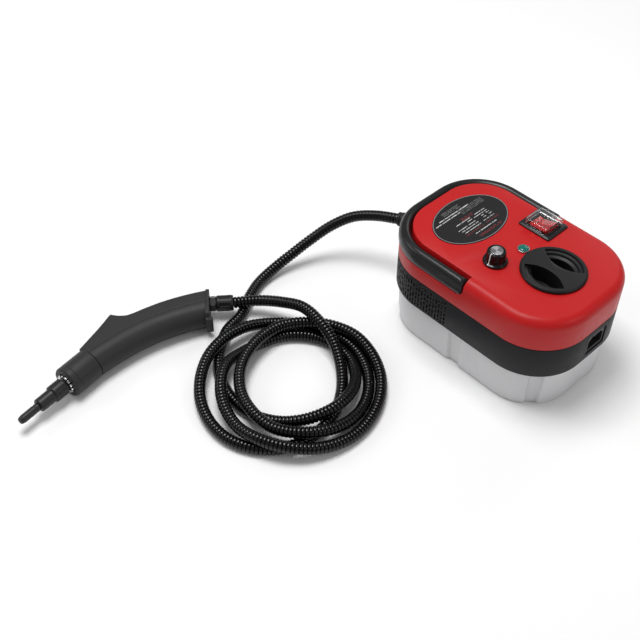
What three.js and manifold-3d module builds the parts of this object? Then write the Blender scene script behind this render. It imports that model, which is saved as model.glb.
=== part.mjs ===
// Handheld pressure steam cleaner: base unit, loosely coiled steam hose and steam gun.
// Units are millimetres, +Z is up, the origin is the centre of the base unit's underside.
// +X runs along the base towards the filler cap and the mains inlet, -X towards the hose outlet.
import * as THREE from "three";
import { mergeVertices } from "three/addons/utils/BufferGeometryUtils.js";
import Module from "manifold-3d";

const wasm = await Module();
wasm.setup();

// ---------------------------------------------------------------- driving dimensions
const GAP = 0.3; // clearance between neighbouring pieces
const BASE = { length: 242, width: 165, corner: 62 };
const WALL = 2.5;
const TANK = { top: 51.6, insetTop: 3.2, insetBottom: 5.4, floor: 3 };
const GROOVE = { depth: 3, halfWidth: 9, bevel: 3 };
const BAND = { bottom: 52, top: 92.6, floor: 3 };
const COVER = { bottom: 93, top: 132, fillet: 11 };
const HANDLE = {
  outset: 1.2, width: 14.2, bottom: 112.5, top: 130.4, pivotX: -5, pivotZ: 121.2, endRadius: 9.2,
};
const CAP = { x: 57, radius: 35.6, rim: 3.6, plugRadius: 28.6, plugDepth: 19 };
const NECK = { inner: 29.2, outer: 32, bottom: 46 };
const SWITCH = { x: 4, y: 50, length: 42, width: 35.5, tilt: THREE.MathUtils.degToRad(-8) };
const KNOB = { x: 5.5, y: -33, skirt: 13.5, height: 15 };
const LAMP = { x: 14, y: 3.5, radius: 6.6 };
const LABEL = { x: -57.5, halfLength: 34.5, halfWidth: 49.5, thickness: 0.8 };
const INLET = { y: 6, z: 72, width: 31, height: 25 };
const OUTLET = { z: 78, sleeveEnd: [-156, -6.3, 74.6] };
const HOSE = { radius: 6.25, sides: 8, steps: 80 };
const GUN = { x: -256.6, y: -418.8, z: 18.2, heading: THREE.MathUtils.degToRad(-80.2), radius: 17.5 };

const object = new THREE.Group();

// ---------------------------------------------------------------- helpers
function finish(colour, roughness, metalness = 0, opacity = 1) {
  return new THREE.MeshStandardMaterial({
    color: colour, roughness, metalness, opacity, transparent: opacity < 1,
  });
}
const look = {
  redShell: finish("#c1292b", 0.38),
  blackShell: finish("#2d2d30", 0.5),
  tank: finish("#d9dbdc", 0.25, 0, 0.6),
  softBlack: finish("#232323", 0.6),
  glossBlack: finish("#101012", 0.25),
  gunShell: finish("#3c3c3c", 0.62),
  steel: finish("#b9bcbf", 0.3, 1),
  brass: finish("#b59a55", 0.35, 1),
  aluminium: finish("#a7abae", 0.45, 0.9),
  rubber: finish("#26282a", 0.8),
  silicone: finish("#e3ded2", 0.5, 0, 0.8),
  lens: finish("#147d6e", 0.15, 0, 0.9),
  clear: finish("#dfe5e8", 0.1, 0, 0.35),
  redRocker: finish("#b81f22", 0.35),
  board: finish("#1f5a3a", 0.6),
  ceramic: finish("#e6e2da", 0.7),
};

function add(name, geometry, material, parent = object) {
  const mesh = new THREE.Mesh(geometry, material);
  mesh.name = name;
  parent.add(mesh);
  return mesh;
}

function solid(geometry) {
  const plain = geometry.clone();
  plain.deleteAttribute("normal");
  plain.deleteAttribute("uv");
  const merged = mergeVertices(plain, 1e-4);
  return new wasm.Manifold(new wasm.Mesh({
    numProp: 3,
    vertProperties: merged.attributes.position.array,
    triVerts: new Uint32Array(merged.index.array),
  }));
}

function geometry(manifold) {
  const mesh = manifold.getMesh();
  const result = new THREE.BufferGeometry();
  result.setAttribute("position", new THREE.BufferAttribute(new Float32Array(mesh.vertProperties), 3));
  result.setIndex(new THREE.BufferAttribute(new Uint32Array(mesh.triVerts), 1));
  result.computeVertexNormals();
  return result;
}

function cut(body, ...tools) {
  let result = solid(body);
  for (const tool of tools) result = result.subtract(solid(tool));
  return geometry(result);
}

function join(...bodies) {
  let result = solid(bodies[0]);
  for (const body of bodies.slice(1)) result = result.add(solid(body));
  return geometry(result);
}

function common(body, other) {
  return geometry(solid(body).intersect(solid(other)));
}

function box(x0, x1, y0, y1, z0, z1) {
  return new THREE.BoxGeometry(x1 - x0, y1 - y0, z1 - z0)
    .translate((x0 + x1) / 2, (y0 + y1) / 2, (z0 + z1) / 2);
}

// upright cylinder or cone from z0 to z1
function post(x, y, radius, z0, z1, sides = 24, topRadius = radius) {
  return new THREE.CylinderGeometry(topRadius, radius, z1 - z0, sides)
    .rotateX(Math.PI / 2).translate(x, y, (z0 + z1) / 2);
}

// turned piece: [radius, height] pairs, starting and ending on the axis or closing on itself
function turned(profile, sides = 24) {
  const points = profile.map(([r, h]) => new THREE.Vector2(r, h));
  return new THREE.LatheGeometry(points, sides).rotateX(Math.PI / 2);
}

function ring(outer, inner, z0, z1, sides = 28) {
  return turned([[inner, z0], [outer, z0], [outer, z1], [inner, z1], [inner, z0]], sides);
}

function prism(shape, depth, curveSegments = 12) {
  return new THREE.ExtrudeGeometry(shape, { depth, bevelEnabled: false, curveSegments });
}

function roundedRectangle(length, width, corner) {
  const a = length / 2;
  const b = width / 2;
  const shape = new THREE.Shape();
  shape.moveTo(-a + corner, -b);
  shape.lineTo(a - corner, -b);
  shape.absarc(a - corner, -b + corner, corner, -Math.PI / 2, 0);
  shape.lineTo(a, b - corner);
  shape.absarc(a - corner, b - corner, corner, 0, Math.PI / 2);
  shape.lineTo(-a + corner, b);
  shape.absarc(-a + corner, b - corner, corner, Math.PI / 2, Math.PI);
  shape.lineTo(-a, -b + corner);
  shape.absarc(-a + corner, -b + corner, corner, Math.PI, Math.PI * 1.5);
  return shape;
}

// tube or rod along a smooth line through points
function tube(points, radius, sides, steps) {
  const route = points.map((p) => new THREE.Vector3(...p));
  const path = new THREE.CatmullRomCurve3(route, false, "centripetal");
  const section = new THREE.Shape().absarc(0, 0, radius, 0, Math.PI * 2);
  return new THREE.ExtrudeGeometry(section, {
    steps, curveSegments: sides / 2, bevelEnabled: false, extrudePath: path,
  });
}

// ---------------------------------------------------------------- plan outline of the base unit
const CORNER_ANGLES = [0, 18, 36, 39.5, 50.5, 54, 72, 90];
const SIDE_STATIONS = [-GROOVE.halfWidth, -GROOVE.halfWidth + GROOVE.bevel, GROOVE.halfWidth - GROOVE.bevel,
  GROOVE.halfWidth];

// points of the outline with their outward normals; "groove" is 1 inside a groove of the tank
function outlineStations() {
  const stations = [];
  const a = BASE.length / 2 - BASE.corner;
  const b = BASE.width / 2 - BASE.corner;
  const centres = [[a, b], [-a, b], [-a, -b], [a, -b]];
  centres.forEach(([cx, cy], quarter) => {
    for (const degrees of CORNER_ANGLES) {
      const angle = THREE.MathUtils.degToRad(degrees + 90 * quarter);
      const nx = Math.cos(angle);
      const ny = Math.sin(angle);
      const groove = degrees > 39 && degrees < 51 ? 1 : 0;
      stations.push({ x: cx + BASE.corner * nx, y: cy + BASE.corner * ny, nx, ny, groove });
    }
    if (quarter % 2 === 0) {
      const side = quarter === 0 ? 1 : -1;
      for (const x of SIDE_STATIONS) {
        const groove = Math.abs(x) < GROOVE.halfWidth ? 1 : 0;
        stations.push({ x: -side * x, y: side * BASE.width / 2, nx: 0, ny: side, groove });
      }
    }
  });
  return stations;
}

// closed body through stacked outlines: levels are { z, inset } from the bottom up
function stacked(levels, grooveDepth = 0) {
  const stations = outlineStations();
  const count = stations.length;
  const positions = [];
  const index = [];
  for (const { z, inset } of levels) {
    for (const s of stations) {
      const depth = inset + s.groove * grooveDepth;
      positions.push(s.x - s.nx * depth, s.y - s.ny * depth, z);
    }
  }
  const bottom = levels.length * count;
  positions.push(0, 0, levels[0].z, 0, 0, levels[levels.length - 1].z);
  for (let i = 0; i < count; i += 1) {
    const j = (i + 1) % count;
    index.push(bottom, j, i);
    const top = (levels.length - 1) * count;
    index.push(bottom + 1, top + i, top + j);
    for (let k = 0; k < levels.length - 1; k += 1) {
      const low = k * count;
      const high = low + count;
      index.push(low + i, low + j, high + j, low + i, high + j, high + i);
    }
  }
  const result = new THREE.BufferGeometry();
  result.setAttribute("position", new THREE.Float32BufferAttribute(positions, 3));
  result.setIndex(index);
  return result;
}

// quarter-round edge from the wall (inset 0) to a flat top
function roundedTop(inset, radius, top, steps = 3) {
  const levels = [];
  for (let i = 0; i <= steps; i += 1) {
    const angle = (i / steps) * (Math.PI / 2);
    levels.push({
      z: top - radius + radius * Math.sin(angle),
      inset: inset + radius - radius * Math.cos(angle),
    });
  }
  return levels;
}

// ---------------------------------------------------------------- housing screws and their bosses
const SCREWS = [[85, 50], [-90, 44], [-90, -44], [85, -50]];

function bosses(z0, z1, radius) {
  return SCREWS.map(([x, y]) => post(x, y, radius, z0, z1, 12));
}

function housingScrews() {
  SCREWS.forEach(([x, y], i) => {
    const screw = join(post(x, y, 3.2, 76.5, 79.6, 12), post(x, y, 1.9, 79, 108, 8));
    add(`housing_screw_${i + 1}`, screw, look.steel);
  });
}

// ---------------------------------------------------------------- tank, band and cover
function waterTank() {
  const { top, insetTop, insetBottom, floor } = TANK;
  const slope = (insetBottom - insetTop) / top;
  const insetAt = (z) => insetBottom - slope * z;
  const outside = stacked([
    { z: 0, inset: insetBottom + 2 },
    { z: 2, inset: insetAt(2) },
    { z: top, inset: insetTop },
  ], GROOVE.depth);
  const inside = stacked([
    { z: floor, inset: insetAt(floor) + WALL + 1.5 },
    { z: floor + 1.5, inset: insetAt(floor) + WALL },
    { z: top + 1, inset: insetTop + WALL },
  ], GROOVE.depth);
  add("water_tank", cut(outside, inside), look.tank);
}

function tankSeal() {
  const outer = TANK.insetTop + WALL + GAP + GROOVE.depth;
  const outside = stacked([{ z: 47.5, inset: outer + 0.4 }, { z: BAND.bottom - GAP, inset: outer }]);
  const inside = stacked([{ z: 47, inset: outer + 4 }, { z: BAND.bottom, inset: outer + 4 }]);
  add("tank_seal", cut(outside, inside), look.silicone);
}

function middleHousing() {
  const outside = stacked([{ z: BAND.bottom, inset: 0.8 }, { z: BAND.bottom + 0.8, inset: 0 },
    { z: BAND.top, inset: 0 }]);
  const inside = stacked([{ z: BAND.bottom + BAND.floor, inset: WALL }, { z: BAND.top + 1, inset: WALL }]);
  const neckHole = post(CAP.x, 0, NECK.outer + GAP, 40, 70, 28);
  const intakeHole = post(-48.2, -37.9, 4, 40, 70, 16);
  const reach = BASE.length / 2;
  const inletY = INLET.width / 2 + GAP;
  const inletZ = INLET.height / 2 + GAP;
  const inletHole = box(reach - 10, reach + 5, INLET.y - inletY, INLET.y + inletY,
    INLET.z - inletZ, INLET.z + inletZ);
  const outletHole = post(0, 0, 8 + GAP, -10, 10, 24).rotateY(Math.PI / 2)
    .translate(-reach, 0, OUTLET.z);
  const shell = cut(outside, inside, neckHole, intakeHole, inletHole, outletHole);
  const columns = join(shell, ...bosses(BAND.bottom + 1, BAND.top - 0.2, 5.5));
  const drilled = cut(columns, ...bosses(BAND.bottom - 1, 79.9, 3.6), ...bosses(70, 100, 2.3));
  add("middle_housing", drilled, look.blackShell);
}

// space that the carry handle and its swing take out of the cover, grown by a clearance
function handleShoulder(clearance) {
  const { pivotX, pivotZ, endRadius, bottom, width, outset } = HANDLE;
  const inner = width - outset + clearance;
  const ledge = bottom - clearance;
  const half = BASE.width / 2 + 20;
  const rear = box(-BASE.length, pivotX, -half, half, ledge, 160);
  const end = post(0, 0, endRadius + clearance, -half, half, 28).rotateX(Math.PI / 2)
    .translate(pivotX, 0, pivotZ);
  const above = box(pivotX - 1, pivotX + endRadius + clearance, -half, half, pivotZ, 160);
  const core = stacked([{ z: 100, inset: inner }, { z: 170, inset: inner }]);
  return geometry(solid(rear).add(solid(end)).add(solid(above)).subtract(solid(core)));
}

function topCover() {
  const outside = stacked([{ z: COVER.bottom, inset: 0 }, ...roundedTop(0, COVER.fillet, COVER.top)]);
  const inside = stacked([{ z: COVER.bottom - 1, inset: WALL },
    ...roundedTop(WALL, COVER.fillet - WALL, COVER.top - WALL)]);
  const shell = geometry(solid(cut(outside, handleShoulder(0.8)))
    .subtract(solid(cut(inside, handleShoulder(0.8 + WALL)))));
  const pinHole = post(0, 0, 2.8, -90, 90, 16).rotateX(Math.PI / 2)
    .translate(HANDLE.pivotX, 0, HANDLE.pivotZ);
  const neckHole = post(CAP.x, 0, NECK.outer + 0.5, 120, 140, 28);
  const switchHole = box(SWITCH.x - 15.5, SWITCH.x + 15.5, SWITCH.y - 14, SWITCH.y + 14, 120, 140);
  const shaftHole = post(KNOB.x, KNOB.y, 4, 120, 140, 20);
  const lampHole = post(LAMP.x, LAMP.y, 4.6, 120, 140, 20);
  const labelSeat = prism(labelOval(GAP), 5, 18).translate(LABEL.x, 0, COVER.top - 0.5);
  const columns = join(shell, ...bosses(COVER.bottom, COVER.top - 1, 5));
  const holes = [pinHole, neckHole, switchHole, shaftHole, lampHole, labelSeat, ...bosses(90, 112, 2.3)];
  add("top_cover", cut(columns, ...holes), look.redShell);
}

function labelOval(grow) {
  const { halfLength, halfWidth } = LABEL;
  return new THREE.Shape().absellipse(0, 0, halfLength + grow, halfWidth + grow, 0, 2 * Math.PI);
}

function labelPlate() {
  const seat = COVER.top - 0.5 + GAP;
  const plate = prism(labelOval(0), LABEL.thickness, 18).translate(LABEL.x, 0, seat);
  add("label_plate", plate, look.softBlack);
}

// ---------------------------------------------------------------- carry handle
function carryHandle() {
  const { outset, width, bottom, top, pivotX, pivotZ, endRadius } = HANDLE;
  const crest = width / 2 - outset;
  const outside = stacked([
    { z: bottom, inset: 1.5 },
    { z: bottom + 2.5, inset: -outset },
    { z: bottom + 9, inset: -outset },
    { z: top - 4, inset: crest - 6 },
    { z: top - 1, inset: crest - 3 },
    { z: top, inset: crest },
  ]);
  const inside = stacked([
    { z: bottom - 1, inset: width - outset },
    { z: top - 6, inset: width - outset },
    { z: top - 2, inset: crest + 5 },
    { z: top - 0.4, inset: crest + 2.5 },
    { z: top + 1, inset: crest + 1.2 },
  ]);
  const half = BASE.width;
  const front = geometry(solid(box(pivotX, 200, -half, half, 80, 160)).subtract(solid(
    post(0, 0, endRadius, -half, half, 28).rotateX(Math.PI / 2).translate(pivotX, 0, pivotZ))));
  const pinHole = post(0, 0, 2.8, -81, 81, 16).rotateX(Math.PI / 2).translate(pivotX, 0, pivotZ);
  add("carry_handle", cut(outside, inside, front, pinHole), look.blackShell);
  for (const [side, sign] of [["left", 1], ["right", -1]]) {
    const pin = post(0, 0, 2.5, 65, 80.4, 16).rotateX(-sign * Math.PI / 2)
      .translate(pivotX, 0, pivotZ);
    add(`handle_pin_${side}`, pin, look.steel);
  }
}

// ---------------------------------------------------------------- filler neck and cap
function fillerNeck() {
  const tubeWall = ring(NECK.outer, NECK.inner, NECK.bottom, COVER.top - 0.3, 28);
  const flange = ring(34.5, NECK.outer - 1, COVER.top - WALL - 2.5, COVER.top - WALL - GAP, 28);
  add("filler_neck", join(tubeWall, flange).translate(CAP.x, 0, 0), look.blackShell);
  const strainer = turned([[0, 60], [25, 60], [25, 74], [28.8, 74], [28.8, 76], [23.5, 76], [23.5, 61.5],
    [0, 61.5]], 20);
  add("neck_strainer", strainer.translate(CAP.x, 0, 0), look.silicone);
}

function fillerCap() {
  const { radius, rim, plugRadius, plugDepth } = CAP;
  const base = COVER.top + GAP;
  const head = turned([[0, base - plugDepth], [plugRadius - 4, base - plugDepth],
    [plugRadius - 4, base - 3.2], [plugRadius, base - 3.2], [plugRadius, base], [radius, base],
    [radius, base + rim - 1.5], [radius - 1.5, base + rim], [0, base + rim]], 36);
  const recess = (side) => {
    const disc = post(0, 0, 27.5 - 5, base - plugDepth + 2.5, base + 10, 24);
    const keep = post(0, side * 42, 36, 80, 160, 36);
    return common(disc, keep);
  };
  add("filler_cap", cut(head, recess(1), recess(-1)).translate(CAP.x, 0, 0), look.softBlack);
  const gasket = ring(plugRadius - 0.1, plugRadius - 3.7, base - 6.8, base - 3.5, 24);
  add("cap_gasket", gasket.translate(CAP.x, 0, 0), look.silicone);
}

// ---------------------------------------------------------------- controls on the cover
function powerSwitch() {
  const { x, y, length, width } = SWITCH;
  const deck = COVER.top + GAP;
  const flange = prism(roundedRectangle(length, width, 2), 2.4, 3).translate(x, y, deck);
  const body = box(x - 15, x + 15, y - 13.5, y + 13.5, deck - 24, deck + 1);
  const well = box(x - 12.6, x + 12.6, y - 10.6, y + 10.6, deck - 8, deck + 10);
  add("switch_body", cut(join(flange, body), well), look.softBlack);
  const rockerShape = new THREE.Shape();
  rockerShape.moveTo(-11.6, 1.2);
  rockerShape.lineTo(-11.4, -2.6);
  rockerShape.lineTo(-3, -6);
  rockerShape.lineTo(3, -6);
  rockerShape.lineTo(11.4, -2.6);
  rockerShape.lineTo(11.6, 1.2);
  rockerShape.quadraticCurveTo(0, -1.6, -11.6, 1.2);
  const rocker = prism(rockerShape, 20, 4).translate(0, 0, -10).rotateX(Math.PI / 2).rotateY(SWITCH.tilt);
  add("power_rocker", rocker.translate(x, y, deck + 2.2), look.redRocker);
  const outer = prism(roundedRectangle(31, 29, 2.5), 7.2, 3).translate(x, y, deck + 2.7);
  const inner = prism(roundedRectangle(28.6, 26.6, 1.5), 6.6, 3).translate(x, y, deck + 2);
  add("switch_cover", cut(outer, inner), look.clear);
}

function statusLamp() {
  const { x, y, radius } = LAMP;
  const deck = COVER.top + GAP;
  const bezel = turned([[4.7, deck], [radius, deck], [radius, deck + 1.2], [radius - 1, deck + 2.2],
    [5.4, deck + 2.2], [4.7, deck + 1.5], [4.7, deck]], 20);
  add("lamp_bezel", bezel.translate(x, y, 0), look.aluminium);
  const lens = turned([[0, deck - 12], [4.2, deck - 12], [4.2, deck + 2], [3.2, deck + 3.2],
    [0, deck + 3.8]], 16);
  add("lamp_lens", lens.translate(x, y, 0), look.lens);
}

function steamRegulator() {
  const { x, y, skirt, height } = KNOB;
  const deck = COVER.top + 0.5;
  const knob = turned([[3.2, deck], [skirt, deck], [skirt, deck + 1.6], [10.6, deck + 3],
    [9.4, deck + height - 1], [8.6, deck + height], [7.4, deck + height], [7.4, deck + height - 1],
    [0, deck + height - 1], [0, deck + 9], [3.2, deck + 9], [3.2, deck]], 20);
  add("regulator_knob", knob.translate(x, y, 0), look.glossBlack);
  const insert = turned([[0, deck + height - 0.7], [7, deck + height - 0.7], [6.6, deck + height + 0.3],
    [0, deck + height + 0.3]], 20);
  add("knob_insert", insert.translate(x, y, 0), look.steel);
  add("regulator_shaft", post(x, y, 2.9, 105.5, deck + 8.6, 16), look.brass);
  const body = join(post(x, y, 9, 97, 122, 24), post(x, y, 3.7, 121, COVER.top - 0.5, 20));
  const bore = post(x, y, 3.2, 105, 140, 16);
  add("regulator_valve", cut(body, bore), look.brass);
  const nut = cut(post(x, y, 7, 124, COVER.top - WALL - GAP, 6), post(x, y, 4, 120, 140, 20));
  add("regulator_nut", nut, look.steel);
}

// ---------------------------------------------------------------- mains inlet
function mainsInlet() {
  const { y, z, width, height } = INLET;
  const face = BASE.length / 2;
  const flange = box(face - 3.5, face - 1.2, y - width / 2, y + width / 2, z - height / 2, z + height / 2);
  const shell = box(face - 27, face - 3, y - 15, y + 15, z - 12, z + 12);
  const cavity = box(face - 22, face + 5, y - 12.4, y + 12.4, z - 8.4, z + 8.4);
  add("mains_inlet", cut(join(flange, shell), cavity), look.softBlack);
  const pins = [["line", y - 7, z - 2], ["neutral", y + 7, z - 2], ["earth", y, z + 2]];
  for (const [role, pinY, pinZ] of pins) {
    add(`inlet_pin_${role}`, box(face - 21.7, face - 6, pinY - 1, pinY + 1, pinZ - 2, pinZ + 2), look.steel);
  }
}

// ---------------------------------------------------------------- what the base holds inside
function boiler() {
  const axis = { x: -63, z: 84 };
  const place = (g) => g.rotateX(Math.PI / 2).translate(axis.x, 0, axis.z);
  const vessel = cut(post(0, 0, 17, -48, 48), post(0, 0, 14, -45, 60));
  add("boiler_body", place(vessel), look.aluminium);
  const lid = join(post(0, 0, 18.5, 48.3, 51.3), post(0, 0, 13.6, 42, 49));
  add("boiler_lid", place(lid), look.aluminium);
  const legs = [-5, 5].map((dx) => axis.x + dx);
  const low = axis.z - 4;
  const heater = tube([[legs[0], 38, low], [legs[0], 5, low], [legs[0], -28, low], [axis.x, -36, low],
    [legs[1], -28, low], [legs[1], 5, low], [legs[1], 38, low]], 2, 8, 18);
  add("heating_element", heater, look.steel);
  const crown = axis.z + 17;
  const pad = box(axis.x - 6, axis.x + 6, -10, 10, crown + GAP, crown + 2);
  add("thermostat", join(pad, post(axis.x, 0, 6, crown + 1.5, crown + 8, 16)), look.ceramic);
  add("thermal_fuse", box(axis.x - 6, axis.x + 6, 16, 32, crown + GAP, crown + 4), look.ceramic);
}

function pump() {
  add("pump_coil", box(-20, 14, -48, -14, 57, 84), look.softBlack);
  const head = join(post(0, 0, 9, 0, 16, 20), post(0, 0, 3, 15, 24, 12));
  add("pump_head", head.rotateY(-Math.PI / 2).translate(-20.3, -31, 70), look.brass);
  const intake = tube([[-48, -38, 10], [-48, -38, 30], [-48, -38, 50], [-50, -37, 60], [-51, -34, 66],
    [-49.5, -31.4, 69.4], [-47, -31, 70], [-44.7, -31, 70]], 2.6, 8, 18);
  add("intake_tube", intake, look.silicone);
  add("intake_filter", turned([[0, 4], [7, 4], [7, 9.7], [0, 9.7]], 16).translate(-48, -38, 0), look.brass);
}

function controlBoard() {
  add("control_board", box(18.5, 20.1, -60, 60, 60, 88), look.board);
}

// ---------------------------------------------------------------- hose outlet, hose and its route
function hoseOutlet() {
  const face = -BASE.length / 2;
  const turn = (g) => g.rotateY(-Math.PI / 2).translate(face, 0, OUTLET.z);
  const nut = cut(post(0, 0, 12, GAP, 7, 6), post(0, 0, 7.3, -1, 9, 16));
  add("hose_outlet_nut", turn(nut), look.softBlack);
  const stem = turn(join(post(0, 0, 7, -9, 8, 16), post(0, 0, 10, 7.3, 14, 16)));
  const sleeve = tube([[-133, 0, 78], [-140, -0.6, 77.7], [-146, -2.5, 76.8], [-151, -4.4, 75.7],
    OUTLET.sleeveEnd], 8.4, 16, 8);
  add("hose_outlet_gland", join(stem, sleeve), look.rubber);
  const pipe = tube([[-63, -24, 101.8], [-63, -24, 106], [-72, -22, 110], [-88, -14, 108], [-100, -5, 97],
    [-105, 0, 85], [-107.2, 0, 79.5], [-110.8, 0, 78]], 3, 8, 16);
  add("steam_pipe", pipe, look.aluminium);
}

// Route of the hose: down from the outlet, four loose turns on the floor, then up to the gun.
const HOSE_FLOOR = 6.4;
const HOSE_DOWN = [[-156.3, -6.4, 74.5], [-169.6, -11.5, 71.6], [-183, -17, 69.2], [-204, -29.5, 63],
  [-223, -50, 49.5], [-236.5, -78, 31.5], [-244, -109, 16.5], [-245.5, -139, 8.4], [-237, -171, 6.6],
  [-217, -202, 6.4]];
const COIL_CENTRE = [-95, -235];
const F = HOSE_FLOOR;
// [radius, height] every 30 degrees, from 180 degrees on: one row for half a turn
const COIL = [
  [112, F], [86, F], [69, F], [59, F], [55, 9], [57, 15],
  [62, 19.4], [67, 16.5], [72, 10], [76, F], [76, F], [74, F],
  [71, 9], [75, 18.5], [78, 19], [84, 15], [91, 19.6], [95, 14],
  [97, F], [98, F], [99, 10], [96, 17.5], [87, 19], [78, 19.3],
  [64, 20.6], [58, 20], [57, 18], [61, 19.6], [70, 18], [78, 19.6],
  [82, 13], [84, F], [86, F], [89, F], [92, F], [95, 9],
  [96, 18.5], [99, 18], [101, 10], [100, F], [92, F], [77, F],
  [63, F], [56, F], [57, 9], [67, 19],
];
const HOSE_UP = [[-121, -163, 28.5], [-150, -160, 32], [-180, -167, 26], [-209.5, -183.8, 19.6],
  [-221.4, -198.4, 18.3]];

function hoseRoute(end) {
  const turns = COIL.map(([radius, height], i) => {
    const angle = THREE.MathUtils.degToRad(180 + 30 * i);
    return [COIL_CENTRE[0] + radius * Math.cos(angle), COIL_CENTRE[1] + radius * Math.sin(angle), height];
  });
  const points = [...HOSE_DOWN, ...turns, ...HOSE_UP, end].map((p) => new THREE.Vector3(...p));
  const smooth = new THREE.CatmullRomCurve3(points, false, "centripetal");
  smooth.arcLengthDivisions = 2000;
  // the smooth line may dip between two points; the floor holds it up
  const laid = smooth.getSpacedPoints(HOSE.steps).map((p) => p.setZ(Math.max(p.z, HOSE_FLOOR)));
  return new THREE.CatmullRomCurve3(laid, false, "centripetal");
}

function steamHose(end) {
  const { radius, sides, steps } = HOSE;
  const section = new THREE.Shape().absarc(0, 0, radius, 0, Math.PI * 2);
  const hose = new THREE.ExtrudeGeometry(section, {
    steps, curveSegments: sides / 2, bevelEnabled: false, extrudePath: hoseRoute(end),
  });
  add("steam_hose", hose, look.glossBlack);
}

// ---------------------------------------------------------------- steam gun
// Its own frame: X along the barrel to the nozzle, Y to the side of the fin, Z across its thickness,
// with the origin at the centre of the front collar's face. It lies on its side.
const TAIL = { x: -186, y: -43.5, angle: THREE.MathUtils.degToRad(228.65), plate: 4, gland: 27.5 };
const HALF = 15.5; // half thickness of the flat upper part
const SHELL_WALL = 2.5;
const BUTTON = { x: -115.8, y: 4, tilt: THREE.MathUtils.degToRad(19.9), spring: 7.3, microSwitch: 16.5 };
const AXIS = [[-37, -0.5], [-50, -2], [-63, -4], [-88, -9], [-113, -16.7], [-133, -25.5], [-152, -35.6],
  [-172, -48.5], [-196, -66]];
const RIDGE = [[-37.3, 16.4], [-50, 18.6], [-65, 21.2], [-82, 24.3], [-95.3, 26.8], [-98, 22.6],
  [-101.5, 16.5], [-106.5, 11], [-114.4, 7.7], [-124, 4.4], [-142.7, -3.4], [-159.5, -12.2], [-176.5, -22.8],
  [-197, -37.5]];

const gun = new THREE.Group();
gun.position.set(GUN.x, GUN.y, GUN.z);
gun.rotation.set(Math.PI, 0, GUN.heading, "ZYX");
object.add(gun);

function gunSlab(half, shrink) {
  const shape = new THREE.Shape();
  const upper = RIDGE.map(([x, y]) => [x, y - shrink]);
  const outlinePoints = [...upper, ...AXIS.slice().reverse()];
  outlinePoints.forEach(([x, y], i) => (i === 0 ? shape.moveTo(x, y) : shape.lineTo(x, y)));
  return prism(shape, 2 * half, 1).translate(0, 0, -half);
}

function gunBody(radius, half, shrink) {
  const lower = tube(AXIS.map(([x, y]) => [x, y, 0]), radius, 16, 10);
  return join(lower, gunSlab(half, shrink));
}

// everything behind the tail plate's inner face
function behindTail(distance) {
  return box(-distance, 200, -150, 150, -60, 60).rotateZ(TAIL.angle).translate(TAIL.x, TAIL.y, 0);
}

const GUN_SCREWS = [[-60, 10], [-138.5, -12.4], [-169, -27]];

function gunShells() {
  const front = box(-37.3, 60, -100, 100, -60, 60);
  const outside = cut(gunBody(GUN.radius, HALF, 0), front, behindTail(TAIL.plate + GAP));
  const columns = GUN_SCREWS.map(([x, y]) => post(x, y, 4, -40, 40, 12));
  const room = cut(gunBody(GUN.radius - SHELL_WALL, HALF - SHELL_WALL, 3.4),
    box(-39, 60, -100, 100, -60, 60), behindTail(TAIL.plate + GAP + 2), ...columns);
  const frontBore = post(0, 0, 9, -60, -30, 24).rotateY(Math.PI / 2);
  const tailBore = tailPiece(post(0, 0, 6.4, -20, 10, 20));
  const slot = buttonBlock(13.8, 22, 9.8);
  const drills = GUN_SCREWS.map(([x, y]) => post(x, y, 1.8, -9, 40, 8));
  const sinks = GUN_SCREWS.map(([x, y]) => post(x, y, 3.4, HALF - 3.2, 40, 12));
  const whole = cut(outside, room, frontBore, tailBore, slot, ...drills, ...sinks);
  const halves = [["gun_shell_upper", -60, -GAP / 2], ["gun_shell_lower", GAP / 2, 60]];
  for (const [name, z0, z1] of halves) {
    add(name, common(whole, box(-260, 60, -120, 100, z0, z1)), look.gunShell, gun);
  }
  GUN_SCREWS.forEach(([x, y], i) => {
    const screw = join(post(x, y, 3, HALF - 2.9, HALF - 0.8, 12), post(x, y, 1.4, -8.5, HALF - 2.5, 8));
    add(`gun_screw_${i + 1}`, screw, look.steel, gun);
  });
}

function buttonBlock(length, height, thickness) {
  return box(-length / 2, length / 2, -height / 2, height / 2, -thickness / 2, thickness / 2)
    .rotateZ(BUTTON.tilt).translate(BUTTON.x, BUTTON.y, 0);
}

function trigger() {
  add("steam_button", buttonBlock(13, 8, 9), look.softBlack, gun);
  const down = [Math.sin(BUTTON.tilt), -Math.cos(BUTTON.tilt)];
  const at = (distance) => [BUTTON.x + down[0] * distance, BUTTON.y + down[1] * distance];
  const [springX, springY] = at(BUTTON.spring);
  const spring = ring(3.2, 2.2, -3, 3, 16).rotateX(-Math.PI / 2).rotateZ(BUTTON.tilt)
    .translate(springX, springY, 0);
  add("button_spring", spring, look.steel, gun);
  const [switchX, switchY] = at(BUTTON.microSwitch);
  const body = box(-9, 9, -3, 3, -5, 5).rotateZ(BUTTON.tilt).translate(switchX, switchY, 0);
  add("micro_switch", body, look.softBlack, gun);
}

// turned piece along the barrel: [radius, distance] pairs
function barrelPiece(profile, sides = 20) {
  return turned(profile, sides).rotateY(Math.PI / 2);
}

// the same along the hose gland's axis, measured from the outer face of the tail plate
function tailPiece(piece) {
  return piece.rotateY(Math.PI / 2).rotateZ(TAIL.angle).translate(TAIL.x, TAIL.y, 0);
}

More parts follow.
